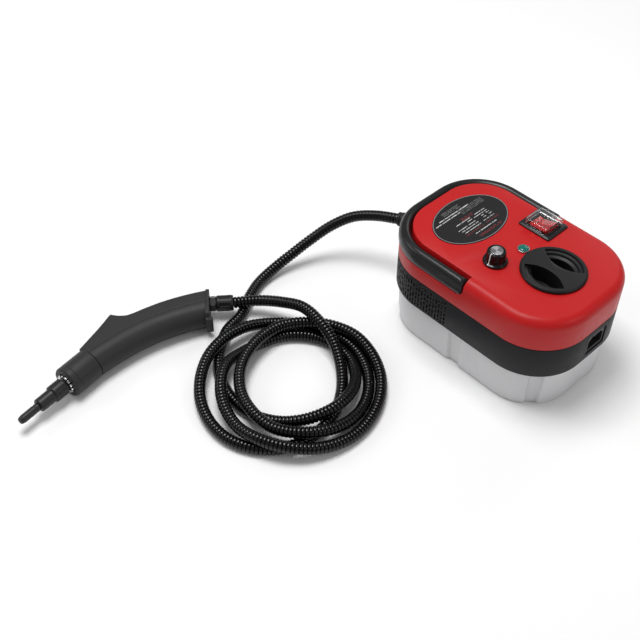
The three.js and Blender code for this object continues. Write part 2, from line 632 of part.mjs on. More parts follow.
function gunEnds() {
  const collar = barrelPiece([[10, -37], [18, -37], [18, -1.5], [16.8, 0], [12.2, 0], [12.2, -14], [10, -14],
    [10, -37]], 28);
  add("front_collar", collar, look.gunShell, gun);
  const socket = barrelPiece([[6, -13.5], [11.8, -13.5], [11.8, 2.5], [6, 2.5], [6, -13.5]]);
  add("nozzle_socket", socket, look.steel, gun);
  const plate = box(-TAIL.plate, 0, -11, 31, -16.5, 16.5);
  const hook = box(-TAIL.plate, 4, 26, 36, -10, 10);
  const bore = tailPiece(post(0, 0, 6.4, -20, 10, 20));
  const shape = join(plate, hook).rotateZ(TAIL.angle).translate(TAIL.x, TAIL.y, 0);
  add("tail_plate", cut(shape, bore), look.gunShell, gun);
  const nut = cut(post(0, 0, 9.2, GAP, 7.3, 6), post(0, 0, 6.4, -1, 9, 20));
  add("gun_gland_nut", tailPiece(nut), look.softBlack, gun);
  const gland = turned([[3.4, -7.5], [6, -7.5], [6, 7.6], [8.6, 7.6], [9.4, 10], [9.4, 25], [8.6, TAIL.gland],
    [3.4, TAIL.gland], [3.4, -7.5]], 24);
  add("gun_gland", tailPiece(gland), look.rubber, gun);
  const inner = [Math.cos(TAIL.angle), Math.sin(TAIL.angle)];
  const back = (d) => [TAIL.x + inner[0] * d, TAIL.y + inner[1] * d, 0];
  const pipe = tube([back(22), back(8), back(-8), [-174, -34.4, 0], [-164, -35.4, 0], [-150, -32, 0],
    [-120, -23.5, 0], [-100, -16, 0], [-80, -8, 0], [-62, -2.5, 0], [-40, 0, 0], [-14, 0, 0]], 2.8, 8, 32);
  add("gun_steam_pipe", pipe, look.silicone, gun);
}

function nozzle() {
  const extension = barrelPiece([[2, -9], [5.6, -9], [5.6, 4], [9.8, 4], [9.8, 20.5], [7.8, 21], [7.8, 39],
    [7, 40], [3.4, 40], [3.4, 29], [2, 29], [2, -9]]);
  add("nozzle_extension", extension, look.softBlack, gun);
  const tip = barrelPiece([[1.5, 30], [3, 30], [3, 40.3], [4.7, 40.3], [4.7, 61.5], [3.4, 66], [1.5, 66],
    [1.5, 30]], 24);
  add("nozzle_tip", tip, look.softBlack, gun);
}

// ---------------------------------------------------------------- assembly
waterTank();
tankSeal();
middleHousing();
topCover();
labelPlate();
housingScrews();
carryHandle();
fillerNeck();
fillerCap();
powerSwitch();
statusLamp();
steamRegulator();
mainsInlet();
boiler();
pump();
controlBoard();
hoseOutlet();
gunShells();
trigger();
gunEnds();
nozzle();
gun.updateMatrixWorld(true);
const hoseEnd = gun.localToWorld(new THREE.Vector3(
  TAIL.x + Math.cos(TAIL.angle) * (TAIL.gland + GAP), TAIL.y + Math.sin(TAIL.angle) * (TAIL.gland + GAP), 0));
steamHose(hoseEnd.toArray());

export default object;
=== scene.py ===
# %% [markdown]
# # A portable steam cleaner, built around its frame
# The base unit has a clear tank, a black vented band and a red cover. A corrugated hose runs from it,
# lies in loose turns on the floor and ends in a steam gun. The frame gives every size and joint.
# This script builds the surfaces that a person sees. Sizes are in millimetres unless a comment says
# metres, and `solid()` turns them into metres when it makes a mesh.

# %% Load the frame
import math
import random

import bmesh
import bpy
import numpy as np
from mathutils import Matrix, Vector


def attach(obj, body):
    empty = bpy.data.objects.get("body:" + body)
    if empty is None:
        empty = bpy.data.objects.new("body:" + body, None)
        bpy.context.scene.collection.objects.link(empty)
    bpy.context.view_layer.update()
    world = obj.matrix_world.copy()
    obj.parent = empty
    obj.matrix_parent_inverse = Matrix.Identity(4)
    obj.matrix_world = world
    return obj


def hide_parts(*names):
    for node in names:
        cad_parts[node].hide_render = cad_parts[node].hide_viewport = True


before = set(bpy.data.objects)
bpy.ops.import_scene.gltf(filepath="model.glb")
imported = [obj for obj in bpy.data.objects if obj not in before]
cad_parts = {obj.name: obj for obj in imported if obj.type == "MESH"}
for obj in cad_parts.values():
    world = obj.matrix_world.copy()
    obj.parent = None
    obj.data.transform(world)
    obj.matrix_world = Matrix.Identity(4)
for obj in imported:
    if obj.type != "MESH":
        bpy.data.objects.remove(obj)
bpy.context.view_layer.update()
MM = 0.001
scene = bpy.context.scene

# %% [markdown]
# ## Camera
# The unit is seen from above its front right corner, with a normal lens. The camera comes first,
# because it decides what of the hose is in view.

# %% Place the camera
CAMERA_PLACE = (0.4561, -0.7080, 0.8624)  # metres
CAMERA_AZIMUTH, CAMERA_ELEVATION, CAMERA_LENS = 46.90, 46.05, 57.2

lens = bpy.data.cameras.new("camera")
lens.lens = CAMERA_LENS
lens.sensor_width = 36.0
lens.clip_start, lens.clip_end = 0.05, 20.0
camera = bpy.data.objects.new("camera", lens)
camera.location = CAMERA_PLACE
camera.rotation_euler = (math.radians(90 - CAMERA_ELEVATION), 0, math.radians(CAMERA_AZIMUTH))
scene.collection.objects.link(camera)
scene.camera = camera
print("camera lens", CAMERA_LENS, "mm")

# %% [markdown]
# ## Node trees as Python
# Materials and Geometry Nodes are both trees of nodes. Wiring them by hand takes many lines, so a
# `Wire` wraps one output socket and lets Python's own operators add the Math nodes. A `Graph` adds
# any other node: its settings first, then the values or wires of its inputs.

# %% Wire and Graph
class Wire:
    """One output socket; arithmetic on it adds Math nodes to its tree."""

    def __init__(self, graph, socket):
        self.graph = graph
        self.socket = socket

    def math(self, operation, *values):
        inputs = dict(enumerate((self, *values)))
        return self.graph.node("ShaderNodeMath", {"operation": operation}, inputs)

    def __add__(self, other):
        return self.math("ADD", other)

    __radd__ = __add__

    def __mul__(self, other):
        return self.math("MULTIPLY", other)

    __rmul__ = __mul__

    def __sub__(self, other):
        return self.math("SUBTRACT", other)

    def __rsub__(self, other):
        return self.math("MULTIPLY_ADD", -1.0, other)

    def __truediv__(self, other):
        return self.math("DIVIDE", other)

    def __mod__(self, other):
        return self.math("FLOORED_MODULO", other)


class Graph:
    """A node tree under construction."""

    def __init__(self, tree):
        self.tree = tree

    def node(self, kind, settings=None, inputs=None, output=0):
        made = self.tree.nodes.new(kind)
        for name, value in (settings or {}).items():
            if name == "stops":
                self.set_stops(made, value)
            else:
                setattr(made, name, value)
        for key, value in (inputs or {}).items():
            if isinstance(value, Wire):
                self.tree.links.new(value.socket, made.inputs[key])
            else:
                made.inputs[key].default_value = value
        return Wire(self, made.outputs[output]) if made.outputs else made

    @staticmethod
    def set_stops(ramp, stops):
        points = ramp.color_ramp.elements
        while len(points) < len(stops):
            points.new(0.5)
        for point, (position, level) in zip(points, stops):
            point.position = position
            point.color = (level, level, level, 1.0)

    def other(self, wire, output):
        """Another output of the node that a wire comes from."""
        return Wire(self, wire.socket.node.outputs[output])

    def noise(self, place, scale, detail=2.0, roughness=0.5):
        inputs = {"Vector": place, "Scale": scale, "Detail": detail, "Roughness": roughness}
        return self.node("ShaderNodeTexNoise", {}, inputs)

    def ramp(self, wire, *stops):
        return self.node("ShaderNodeValToRGB", {"stops": stops}, {"Fac": wire})

    def blend(self, factor, first, second):
        """Mix of two colours, each a tuple or a wire."""
        full = [c if isinstance(c, Wire) else (*c, 1.0) for c in (first, second)]
        inputs = {0: factor, 6: full[0], 7: full[1]}
        return self.node("ShaderNodeMix", {"data_type": "RGBA"}, inputs, 2)

    def bump(self, height, distance, strength):
        inputs = {"Height": height, "Distance": distance, "Strength": strength}
        return self.node("ShaderNodeBump", {}, inputs)

    def attribute(self, name, kind):
        return self.node("GeometryNodeInputNamedAttribute", {"data_type": kind}, {0: name})

    def facing(self, direction):
        """Rotation about Z that turns X towards a direction."""
        axes = {"axis": "X", "pivot_axis": "Z"}
        return self.node("FunctionNodeAlignRotationToVector", axes, {"Vector": direction})


print("node helpers ready")

# %% [markdown]
# ## Finishes
# Most of the unit is injection moulded. Such plastic is never one flat colour: it carries a fine
# spark-eroded grain, its gloss drifts a little where the mould ran hotter, and handling polishes it.
# One function gives that finish with a grain size and height for each piece. All patterns read
# Object coordinates, which are metres in the part's own frame, so a grain of 0.5 mm has a scale
# of 1 / 0.0005.

# %% Moulded plastic
def new_material(name):
    made = bpy.data.materials.new(name)
    made.use_nodes = True
    made.node_tree.nodes.clear()
    return made, Graph(made.node_tree)


def surface(graph, **sockets):
    """Principled shader with sockets given by name, wired to the material's output."""
    inputs = {key.replace("_", " "): value for key, value in sockets.items()}
    shader = graph.node("ShaderNodeBsdfPrincipled", {}, inputs)
    graph.node("ShaderNodeOutputMaterial", {}, {"Surface": shader})


def shade(colour, factor):
    return tuple(min(1.0, c * factor) for c in colour)


def moulded(name, colour, roughness, grain, height, coat=0.0, drift=0.10, clear=0.0, mirror=0.5):
    """grain and height in millimetres; drift: how far the tone wanders; mirror: how much it reflects."""
    made, graph = new_material(name)
    place = graph.node("ShaderNodeTexCoord", output="Object")
    clouds = graph.noise(place, 22.0, 3.0)
    smear = graph.noise(place, 140.0, 4.0, 0.65)
    tone = clouds * 0.7 + smear * 0.3
    base = graph.blend(tone, shade(colour, 1 - drift), shade(colour, 1 + drift))
    dull = (smear - 0.5) * 0.16 + (clouds - 0.5) * 0.10 + roughness
    pits = graph.noise(place, 1 / (grain * MM), 2.0)
    normal = graph.bump(pits, height * MM, 0.8)
    surface(graph, Base_Color=base, Roughness=dull, Normal=normal, Coat_Weight=coat,
            Coat_Roughness=0.12, Transmission_Weight=clear, Specular_IOR_Level=mirror)
    return made


RED = (0.455, 0.007, 0.008)
red_shell = moulded("red_shell", RED, 0.42, 0.45, 0.010, coat=0.03, drift=0.05, mirror=0.22)
black_shell = moulded("black_shell", (0.014, 0.014, 0.016), 0.48, 0.5, 0.014, mirror=0.16)
handle_black = moulded("handle_black", (0.006, 0.006, 0.007), 0.30, 0.6, 0.002, mirror=0.34)
cap_black = moulded("cap_black", (0.008, 0.008, 0.009), 0.42, 0.5, 0.012, mirror=0.24)
gloss_black = moulded("gloss_black", (0.002, 0.002, 0.0025), 0.17, 0.9, 0.002, mirror=0.36)
gun_grey = moulded("gun_grey", (0.028, 0.028, 0.029), 0.48, 0.6, 0.020, mirror=0.20)
nozzle_black = moulded("nozzle_black", (0.014, 0.014, 0.015), 0.40, 0.5, 0.010, mirror=0.3)
gland_black = moulded("gland_black", (0.011, 0.011, 0.012), 0.45, 0.4, 0.015, mirror=0.3)
switch_black = moulded("switch_black", (0.009, 0.009, 0.010), 0.35, 0.5, 0.008, mirror=0.3)
rocker_red = moulded("rocker_red", (0.62, 0.010, 0.014), 0.22, 0.9, 0.004, coat=0.5)
milky = moulded("milky_silicone", (0.74, 0.72, 0.66), 0.48, 0.8, 0.010, clear=0.15)
ceramic = moulded("ceramic", (0.74, 0.71, 0.65), 0.72, 0.35, 0.02)
board_green = moulded("board_green", (0.012, 0.10, 0.04), 0.35, 1.2, 0.01, coat=0.3)
print("moulded finishes:", len(bpy.data.materials))

# %% [markdown]
# The tank is natural polypropylene: milky, so light passes but shapes behind it blur. The splash
# cover over the switch is water-clear. Both are the same shader with transmission; only roughness and
# tint differ, and the tank's faint flow marks come from noise stretched upright.

# %% Clear plastics
def frosted_tank():
    made, graph = new_material("frosted_tank")
    place = graph.node("ShaderNodeTexCoord", output="Object")
    upright = graph.node("ShaderNodeMapping", {}, {"Vector": place, "Scale": (1.0, 1.0, 0.25)})
    clouds = graph.noise(upright, 45.0, 3.0)
    flow = graph.noise(upright, 420.0, 2.0)
    base = graph.blend(clouds, (0.80, 0.80, 0.82), (0.93, 0.93, 0.94))
    dull = clouds * 0.14 + flow * 0.08 + 0.30
    normal = graph.bump(flow, 0.05 * MM, 0.6)
    surface(graph, Base_Color=base, Roughness=dull, Normal=normal, Transmission_Weight=0.35,
            IOR=1.48, Coat_Weight=0.15, Coat_Roughness=0.2)
    return made


def clear_plastic(name, tint, roughness, clear):
    made, graph = new_material(name)
    place = graph.node("ShaderNodeTexCoord", output="Object")
    film = graph.noise(place, 160.0, 3.0)
    base = graph.blend(film, shade(tint, 0.94), tint)
    dull = film * 0.06 + roughness
    normal = graph.bump(film, 0.02 * MM, 0.3)
    surface(graph, Base_Color=base, Roughness=dull, Normal=normal, Transmission_Weight=clear, IOR=1.46)
    return made


tank_plastic = frosted_tank()
splash_clear = clear_plastic("splash_clear", (0.97, 0.98, 0.98), 0.02, 1.0)
lens_green = clear_plastic("lens_green", (0.006, 0.21, 0.165), 0.08, 0.35)
print("clear finishes ready")

# %% [markdown]
# Metal is told by its scratches. A turned face, such as the knob's insert, has rings of fine lines:
# noise read in polar form, with the radius stretched and the angle nearly left alone. Its colour also
# carries painted highlight and shade: two bright fans with darker sectors between them. Drawn pins and
# screws have a plain scatter of fine marks.

# %% Metals
def metal(name, colour, roughness, centre=None):
    """centre, in metres, turns the scratches into rings round that point and paints two bright highlight
    fans, with darker sectors between, into the colour.
    """
    made, graph = new_material(name)
    place = graph.node("ShaderNodeTexCoord", output="Object")
    if centre is not None:
        moved = graph.node("ShaderNodeVectorMath", {"operation": "SUBTRACT"}, {0: place, 1: centre})
        x = graph.node("ShaderNodeSeparateXYZ", {}, {0: moved})
        y = graph.other(x, 1)
        radius = (x * x + y * y).math("SQRT")
        angle = y.math("ARCTAN2", x)
        place = graph.node("ShaderNodeCombineXYZ", {}, {0: radius * 60.0, 1: angle * 0.06})
    marks = graph.noise(place, 90.0 if centre is not None else 900.0, 4.0, 0.7)
    base = graph.blend(marks, shade(colour, 0.82), shade(colour, 1.12))
    if centre is not None:  # painted highlight and shade: two bright fans, where light gathers on a turned face, and darker sectors between them
        painted_fans = graph.ramp((angle * 2.0 + 1.1).math("COSINE") * 0.5 + 0.5, (0.25, 0.12), (0.85, 1.0))
        base = graph.blend(painted_fans, shade(colour, 0.30), base)
    dull = marks * 0.22 + (roughness - 0.11)
    normal = graph.bump(marks, 0.03 * MM, 0.5)
    surface(graph, Base_Color=base, Metallic=1.0, Roughness=dull, Normal=normal)
    return made


steel = metal("steel", (0.58, 0.59, 0.61), 0.30)
bright_ring = metal("bright_ring", (0.80, 0.80, 0.82), 0.18)
brass = metal("brass", (0.62, 0.42, 0.14), 0.32)
cast_aluminium = metal("cast_aluminium", (0.48, 0.49, 0.50), 0.46)
lamp_metal = metal("lamp_metal", (0.34, 0.35, 0.35), 0.35)
print("materials:", len(bpy.data.materials))

# %% [markdown]
# ## Solids from outlines
# Nearly every piece here is one of three forms: a turned profile, an outline carried through levels,
# or an outline pushed along a depth. Corners on real mouldings are never sharp, so `eased()` first
# turns each corner of an outline into a small arc.

# %% Outline helpers
def eased(points, radii, steps=5, closed=True):
    """Each corner of a flat outline as an arc. radii is one number or one for each point."""
    count = len(points)
    if not hasattr(radii, "__len__"):
        radii = [radii] * count
    result = []
    for i, (point, radius) in enumerate(zip(points, radii)):
        here = Vector(point)
        if radius <= 0 or (not closed and i in (0, count - 1)):
            result.append(tuple(here))
            continue
        back = Vector(points[i - 1]) - here
        ahead = Vector(points[(i + 1) % count]) - here
        half = back.angle(ahead) / 2
        reach = min(radius / math.tan(half), 0.49 * back.length, 0.49 * ahead.length)
        middle = (back.normalized() + ahead.normalized()).normalized()
        centre = here + middle * (reach / math.cos(half))
        start = here + back.normalized() * reach - centre
        end = here + ahead.normalized() * reach - centre
        sweep = start.angle_signed(end)
        for k in range(steps + 1):
            arm = start.copy()
            arm.rotate(Matrix.Rotation(-sweep * k / steps, 2))
            result.append(tuple(centre + arm))
    return result


def disc(radius, count=48, centre=(0, 0)):
    turn = [2 * math.pi * k / count for k in range(count)]
    return [(centre[0] + radius * math.cos(a), centre[1] + radius * math.sin(a)) for a in turn]


def block(x0, x1, y0, y1):
    return [(x0, y0), (x1, y0), (x1, y1), (x0, y1)]


def middle_block(half_x, half_y, x=0.0, y=0.0):
    return block(x - half_x, x + half_x, y - half_y, y + half_y)


# %% Solid helpers
def solid(name, vertices, faces, finish=None, place=None, sharp=38):
    """A closed mesh object from millimetre vertices; place is a matrix in millimetres."""
    mesh = bpy.data.meshes.new(name)
    mesh.from_pydata([tuple(v) for v in vertices], [], faces)
    if place is not None:
        mesh.transform(place)
    mesh.transform(Matrix.Scale(MM, 4))
    piece = bpy.data.objects.new(name, mesh)
    scene.collection.objects.link(piece)
    tidy(piece, sharp)
    if finish is not None:
        piece.data.materials.append(finish)
    return piece


def tidy(piece, sharp=38):
    """Merge doubles, turn faces outwards, smooth all but the sharp edges."""
    work = bmesh.new()
    work.from_mesh(piece.data)
    bmesh.ops.remove_doubles(work, verts=work.verts, dist=0.002 * MM)
    bmesh.ops.dissolve_degenerate(work, edges=work.edges, dist=0.001 * MM)
    bmesh.ops.recalc_face_normals(work, faces=work.faces)
    work.to_mesh(piece.data)
    work.free()
    piece.data.polygons.foreach_set("use_smooth", [True] * len(piece.data.polygons))
    piece.data.set_sharp_from_angle(angle=math.radians(sharp))
    piece.data.update()


def stacked(name, rings, finish=None, place=None, sharp=38):
    """Rings of the same number of points, joined in order and closed with a face at each end."""
    count = len(rings[0])
    vertices = [v for ring in rings for v in ring]
    faces = []
    for level in range(len(rings) - 1):
        low = level * count
        for i in range(count):
            j = (i + 1) % count
            faces.append((low + i, low + j, low + count + j, low + count + i))
    faces.append(tuple(reversed(range(count))))
    faces.append(tuple(range(len(vertices) - count, len(vertices))))
    return solid(name, vertices, faces, finish, place, sharp)


def turned(name, profile, finish=None, place=None, sides=64, sharp=38):
    """(radius, height) pairs spun about Z; a ring closes on itself, any other profile meets the axis."""
    hollow = all(r > 0 for r, _ in profile)
    vertices, rows = [], []
    for radius, height in profile:
        if radius <= 0:
            rows.append([len(vertices)] * sides)
            vertices.append((0, 0, height))
            continue
        rows.append(list(range(len(vertices), len(vertices) + sides)))
        vertices += [(x, y, height) for x, y in disc(radius, sides)]
    pairs = list(zip(rows, rows[1:]))
    if hollow:
        pairs.append((rows[-1], rows[0]))
    faces = []
    for low, high in pairs:
        for i in range(sides):
            j = (i + 1) % sides
            loop = list(dict.fromkeys((low[i], low[j], high[j], high[i])))
            if len(loop) > 2:
                faces.append(loop)
    return solid(name, vertices, faces, finish, place, sharp)


def pushed(name, outline, z0, z1, finish=None, place=None, sharp=38):
    """A flat outline pushed from z0 to z1."""
    rings = [[(x, y, z) for x, y in outline] for z in (z0, z1)]
    return stacked(name, rings, finish, place, sharp)


def at(x, y, z=0.0):
    return Matrix.Translation((x, y, z))


def about(axis, degrees):
    return Matrix.Rotation(math.radians(degrees), 4, axis)


def in_metres(place):
    """A placing in millimetres, made fit for a mesh that is already in metres."""
    return Matrix.Scale(MM, 4) @ place @ Matrix.Scale(1 / MM, 4)


LYING_X = about("Y", 90)  # lays a turned piece along X
ACROSS = about("X", 90)  # stands an outline in XZ, pushed along Y
UPRIGHT = Matrix(((0, 0, 1, 0), (1, 0, 0, 0), (0, 1, 0, 0), (0, 0, 0, 1)))  # outline in YZ, along X
print("solid helpers ready")

# %% [markdown]
# Holes, slots and seats are cut with Boolean modifiers, and hard edges are broken with a Bevel
# modifier. Both are applied at once, so that every piece ends as a plain mesh.

# %% Modifier helpers
def apply_modifiers(piece):
    graph = bpy.context.evaluated_depsgraph_get()
    made = bpy.data.meshes.new_from_object(piece.evaluated_get(graph))
    piece.modifiers.clear()
    piece.data = made


def combine(piece, others, operation="DIFFERENCE", sharp=38):
    for other in others:
        step = piece.modifiers.new("cut", "BOOLEAN")
        step.operation = operation
        step.solver = "EXACT"
        step.material_mode = "TRANSFER"
        step.object = other
    bpy.context.view_layer.update()
    apply_modifiers(piece)
    for other in others:
        bpy.data.objects.remove(other)
    tidy(piece, sharp)
    return piece


def cut(piece, *others, sharp=38):
    return combine(piece, others, "DIFFERENCE", sharp)


def join(piece, *others, sharp=38):
    return combine(piece, others, "UNION", sharp)


def softened(piece, width, segments, angle):
    """Bevels the edges that turn more than angle degrees; width is in millimetres."""
    step = piece.modifiers.new("soft", "BEVEL")
    step.width = width * MM
    step.segments = segments
    step.limit_method = "ANGLE"
    step.angle_limit = math.radians(angle)
    step.use_clamp_overlap = True
    apply_modifiers(piece)
    tidy(piece)


def settle(piece, body, slot, *nodes):
    """Rides on a body and stands for the frame's own nodes. slot is not used."""
    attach(piece, body)
    if nodes:
        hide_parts(*nodes)
    print(f"{piece.name}: {len(piece.data.polygons)} faces on {body}")


print("modifier helpers ready")

# %% [markdown]
# ## The steam hose
# The hose is a rubber tube in a corrugated sheath. It leaves the base unit, drops to the floor, lies
# there in four loose turns and rises to the gun. Its route is a short list of points, drawn as one
# smooth line; the sheath's ribs repeat about 560 times, so Geometry Nodes make them: the line is
# resampled six times a rib and each ring is scaled by its place in the rib.

# %% Smooth line through points
def smooth_line(points, count):
    """Centripetal Catmull-Rom line through points, as count evenly spaced points."""
    p = np.array(points, float)
    p = np.vstack([2 * p[0] - p[1], p, 2 * p[-1] - p[-2]])
    t = np.linspace(0, 1, 40, endpoint=False)[:, None]
    parts = []
    for a, b, c, d in zip(p, p[1:], p[2:], p[3:]):
        ab, bc, cd = (np.linalg.norm(v - u) ** 0.5 for u, v in ((a, b), (b, c), (c, d)))
        leave = bc * ((b - a) / ab - (c - a) / (ab + bc) + (c - b) / bc)
        arrive = bc * ((c - b) / bc - (d - b) / (bc + cd) + (d - c) / cd)
        bend = 3 * (c - b) - 2 * leave - arrive
        twist = 2 * (b - c) + leave + arrive
        parts.append(b + leave * t + bend * t**2 + twist * t**3)
    dense = np.vstack([*parts, p[-2][None]])
    run = np.concatenate([[0], np.cumsum(np.linalg.norm(np.diff(dense, axis=0), axis=1))])
    wanted = np.linspace(0, run[-1], count)
    return np.stack([np.interp(wanted, run, dense[:, k]) for k in range(3)], axis=1)


def length_of(line):
    return float(np.linalg.norm(np.diff(line, axis=0), axis=1).sum())


# %% The gun's own frame, which the end of the hose needs
GUN_ORIGIN, GUN_HEADING = (-256.6, -418.8, 18.2), -80.2  # centre of the gun's front face, degrees
TAIL_X, TAIL_Y, TAIL_ANGLE = -186.0, -43.5, 228.65
GLAND_LENGTH, GAP = 27.5, 0.3
GUN = at(*GUN_ORIGIN) @ about("Z", GUN_HEADING) @ about("X", 180)
TAIL_IN_GUN = at(TAIL_X, TAIL_Y) @ about("Z", TAIL_ANGLE)
TAIL = GUN @ TAIL_IN_GUN
hose_end = (TAIL @ Vector((GLAND_LENGTH + GAP, 0, 0))) * MM
print("hose ends at", [round(c, 4) for c in hose_end])

# %% Route of the hose, in metres
FLOOR = 0.0067
LEAVING = [(-0.1563, -0.0064, 0.0745), (-0.1696, -0.0115, 0.0716), (-0.183, -0.017, 0.0692),
           (-0.204, -0.0295, 0.063), (-0.223, -0.050, 0.0495), (-0.2365, -0.078, 0.0315),
           (-0.244, -0.109, 0.0165), (-0.2455, -0.139, 0.0084), (-0.237, -0.171, 0.0066),
           (-0.217, -0.202, FLOOR)]
COIL_CENTRE = (-0.095, -0.235)
# radius and height of the turns every 30 degrees from the left side on, one row for half a turn
TURNS = [
    (0.112, FLOOR), (0.086, FLOOR), (0.069, FLOOR), (0.059, FLOOR), (0.055, 0.009), (0.057, 0.015),
    (0.062, 0.0194), (0.067, 0.0165), (0.072, 0.010), (0.076, FLOOR), (0.076, FLOOR), (0.074, FLOOR),
    (0.071, 0.009), (0.075, 0.0185), (0.078, 0.019), (0.084, 0.015), (0.091, 0.0196), (0.095, 0.014),
    (0.097, FLOOR), (0.098, FLOOR), (0.099, 0.010), (0.096, 0.0175), (0.087, 0.019), (0.078, 0.0193),
    (0.064, 0.0206), (0.058, 0.020), (0.057, 0.018), (0.061, 0.0196), (0.070, 0.018), (0.078, 0.0196),
    (0.082, 0.013), (0.084, FLOOR), (0.086, FLOOR), (0.089, FLOOR), (0.092, FLOOR), (0.095, 0.009),
    (0.096, 0.0185), (0.099, 0.018), (0.101, 0.010), (0.100, FLOOR), (0.092, FLOOR), (0.077, FLOOR),
    (0.063, FLOOR), (0.056, FLOOR), (0.057, 0.009), (0.067, 0.019),
]
RISING = [(-0.121, -0.163, 0.0285), (-0.150, -0.160, 0.032), (-0.180, -0.167, 0.026),
          (-0.2095, -0.1838, 0.0196), (-0.2214, -0.1984, 0.0183)]


def coil_point(step, radius, height):
    angle = math.radians(180 + 30 * step)
    x, y = COIL_CENTRE
    return (x + radius * math.cos(angle), y + radius * math.sin(angle), height)


coil = [coil_point(i, radius, height) for i, (radius, height) in enumerate(TURNS)]
laid = smooth_line([*LEAVING, *coil, *RISING, hose_end], 81)
laid[:, 2] = np.maximum(laid[:, 2], FLOOR)
hose_line = smooth_line(laid, 1600)
print("hose length", round(length_of(hose_line), 3), "m")


# %% Geometry Nodes helpers
def new_tree(name, sockets):
    """A Geometry Nodes tree with named inputs, and the graph that fills it."""
    tree = bpy.data.node_groups.new(name, "GeometryNodeTree")
    tree.interface.new_socket("Geometry", in_out="INPUT", socket_type="NodeSocketGeometry")
    for label, kind in sockets:
        tree.interface.new_socket(label, in_out="INPUT", socket_type="NodeSocket" + kind)
    tree.interface.new_socket("Geometry", in_out="OUTPUT", socket_type="NodeSocketGeometry")
    graph = Graph(tree)
    first = graph.node("NodeGroupInput")
    inputs = {label: graph.other(first, label) for label, _ in sockets}
    return graph, first, inputs


def close_tree(graph, shape, finish):
    """Every tree ends in Realize Instances and Set Material."""
    real = graph.node("GeometryNodeRealizeInstances", {}, {0: shape})
    done = graph.node("GeometryNodeSetMaterial", {}, {"Geometry": real, "Material": finish})
    graph.node("NodeGroupOutput", {}, {0: done})
    return graph.tree


def grown(name, seed_mesh, tree, values, sharp=38, merge=True):
    """Runs a tree on a seed mesh and keeps the result as a plain mesh piece."""
    piece = bpy.data.objects.new(name, seed_mesh)
    scene.collection.objects.link(piece)
    step = piece.modifiers.new("grow", "NODES")
    step.node_group = tree
    sockets = {s.name: s.identifier for s in tree.interface.items_tree if s.in_out == "INPUT"}
    for label, value in values.items():
        step[sockets[label]] = value
    bpy.context.view_layer.update()
    apply_modifiers(piece)
    if merge:
        tidy(piece, sharp)
    return piece


def line_mesh(name, points):
    mesh = bpy.data.meshes.new(name)
    mesh.from_pydata([tuple(p) for p in points], [(i, i + 1) for i in range(len(points) - 1)], [])
    return mesh


# %% The tree of a ribbed sleeve
def ribbed_tree():
    sockets = [("Radius", "Float"), ("Pitch", "Float"), ("Depth", "Float"), ("Sides", "Int"),
               ("Material", "Material")]
    graph, first, given = new_tree("ribbed_sleeve", sockets)
    line = graph.node("GeometryNodeMeshToCurve", {}, {0: first})
    rings = graph.node("GeometryNodeResampleCurve", {"mode": "LENGTH"},
                       {"Curve": line, "Length": given["Pitch"] / 6.0})
    place = (graph.node("GeometryNodeInputIndex") % 6.0) * (math.pi / 3)
    wave = (place.math("COSINE") + 1.0) * 0.5
    groove = wave.math("POWER", 6.0)  # flat ribs with narrow grooves between them
    scale = given["Radius"] * (1.0 - groove * given["Depth"])
    ring = graph.node("GeometryNodeCurvePrimitiveCircle", {"mode": "RADIUS"},
                      {"Resolution": given["Sides"], "Radius": 1.0})
    sleeve = graph.node("GeometryNodeCurveToMesh", {},
                        {"Curve": rings, "Profile Curve": ring, "Scale": scale, "Fill Caps": True})
    return close_tree(graph, sleeve, given["Material"])


RIBBED = ribbed_tree()


def ribbed(name, line, radius, pitch, depth, sides, finish, sharp=60):
    """radius and pitch in millimetres; depth is the groove's share of the radius; line in metres."""
    values = {"Radius": radius * MM, "Pitch": pitch * MM, "Depth": depth, "Sides": sides,
              "Material": finish}
    return grown(name, line_mesh(name, line), RIBBED, values, sharp)


HOSE_RADIUS, RIB_PITCH = 6.7, 4.2
steam_hose = ribbed("corrugated_hose", hose_line, HOSE_RADIUS, RIB_PITCH, 0.18, 16, gloss_black, 35)
settle(steam_hose, "housing", "gloss_black", "steam_hose")

# %% [markdown]
# Where the hose leaves the base unit, a rubber boot keeps it from kinking. It is a ribbed sleeve like
# the hose, coarser and thicker, on a hexagonal nut.

# %% Outlet boot and nut
OUTLET_Z = 78.0
boot_line = smooth_line([(-0.1285, 0, 0.078), (-0.133, 0, 0.078), (-0.140, -0.0006, 0.0777),
                         (-0.146, -0.0025, 0.0768), (-0.151, -0.0044, 0.0757),
                         (-0.156, -0.0063, 0.0746)], 60)
outlet_boot = ribbed("outlet_boot", boot_line, 8.5, 4.2, 0.12, 32, gland_black)
outward = at(-121, 0, OUTLET_Z) @ about("Y", -90)
collar_profile = eased([(0, -9), (7, -9), (7, 7.3), (10, 7.3), (10, 13.5), (0, 13.5)],
                       [0, 0.5, 0.5, 0.8, 0.8, 0], closed=False)
outlet_collar = turned("outlet_collar", collar_profile, gland_black, outward, 48)
settle(join(outlet_boot, outlet_collar), "housing", "rubber", "hose_outlet_gland")


def hex_nut(name, radius, bore, depth, finish, place):
    """Hexagonal nut with turned-down corners."""
    nut = pushed(name, disc(radius, 6), 0, depth, finish, place)
    hole = pushed("hole", disc(bore, 40), -5, depth + 5, None, place)
    narrow, wide = radius * 0.86, radius * 1.02
    cone_profile = [(0, -1), (narrow, -0.2), (wide, 1.6), (wide, depth - 1.6), (narrow, depth + 0.2),
                    (0, depth + 1)]
    combine(nut, [turned("cone", cone_profile, None, place, 48)], "INTERSECT")
    return cut(nut, hole, sharp=25)


outlet_nut = hex_nut("outlet_nut", 12, 7.3, 6.7, switch_black, outward @ at(0, 0, GAP))
settle(outlet_nut, "housing", "soft_black", "hose_outlet_nut")

# %% [markdown]
# ## Base unit
# Tank, band and cover share one plan: a rectangle with large round corners. Each is that outline
# carried through levels, every level with its own height and inset. The tank also has upright
# grooves, in the middle of its long sides and at its corners, which stiffen the thin wall.

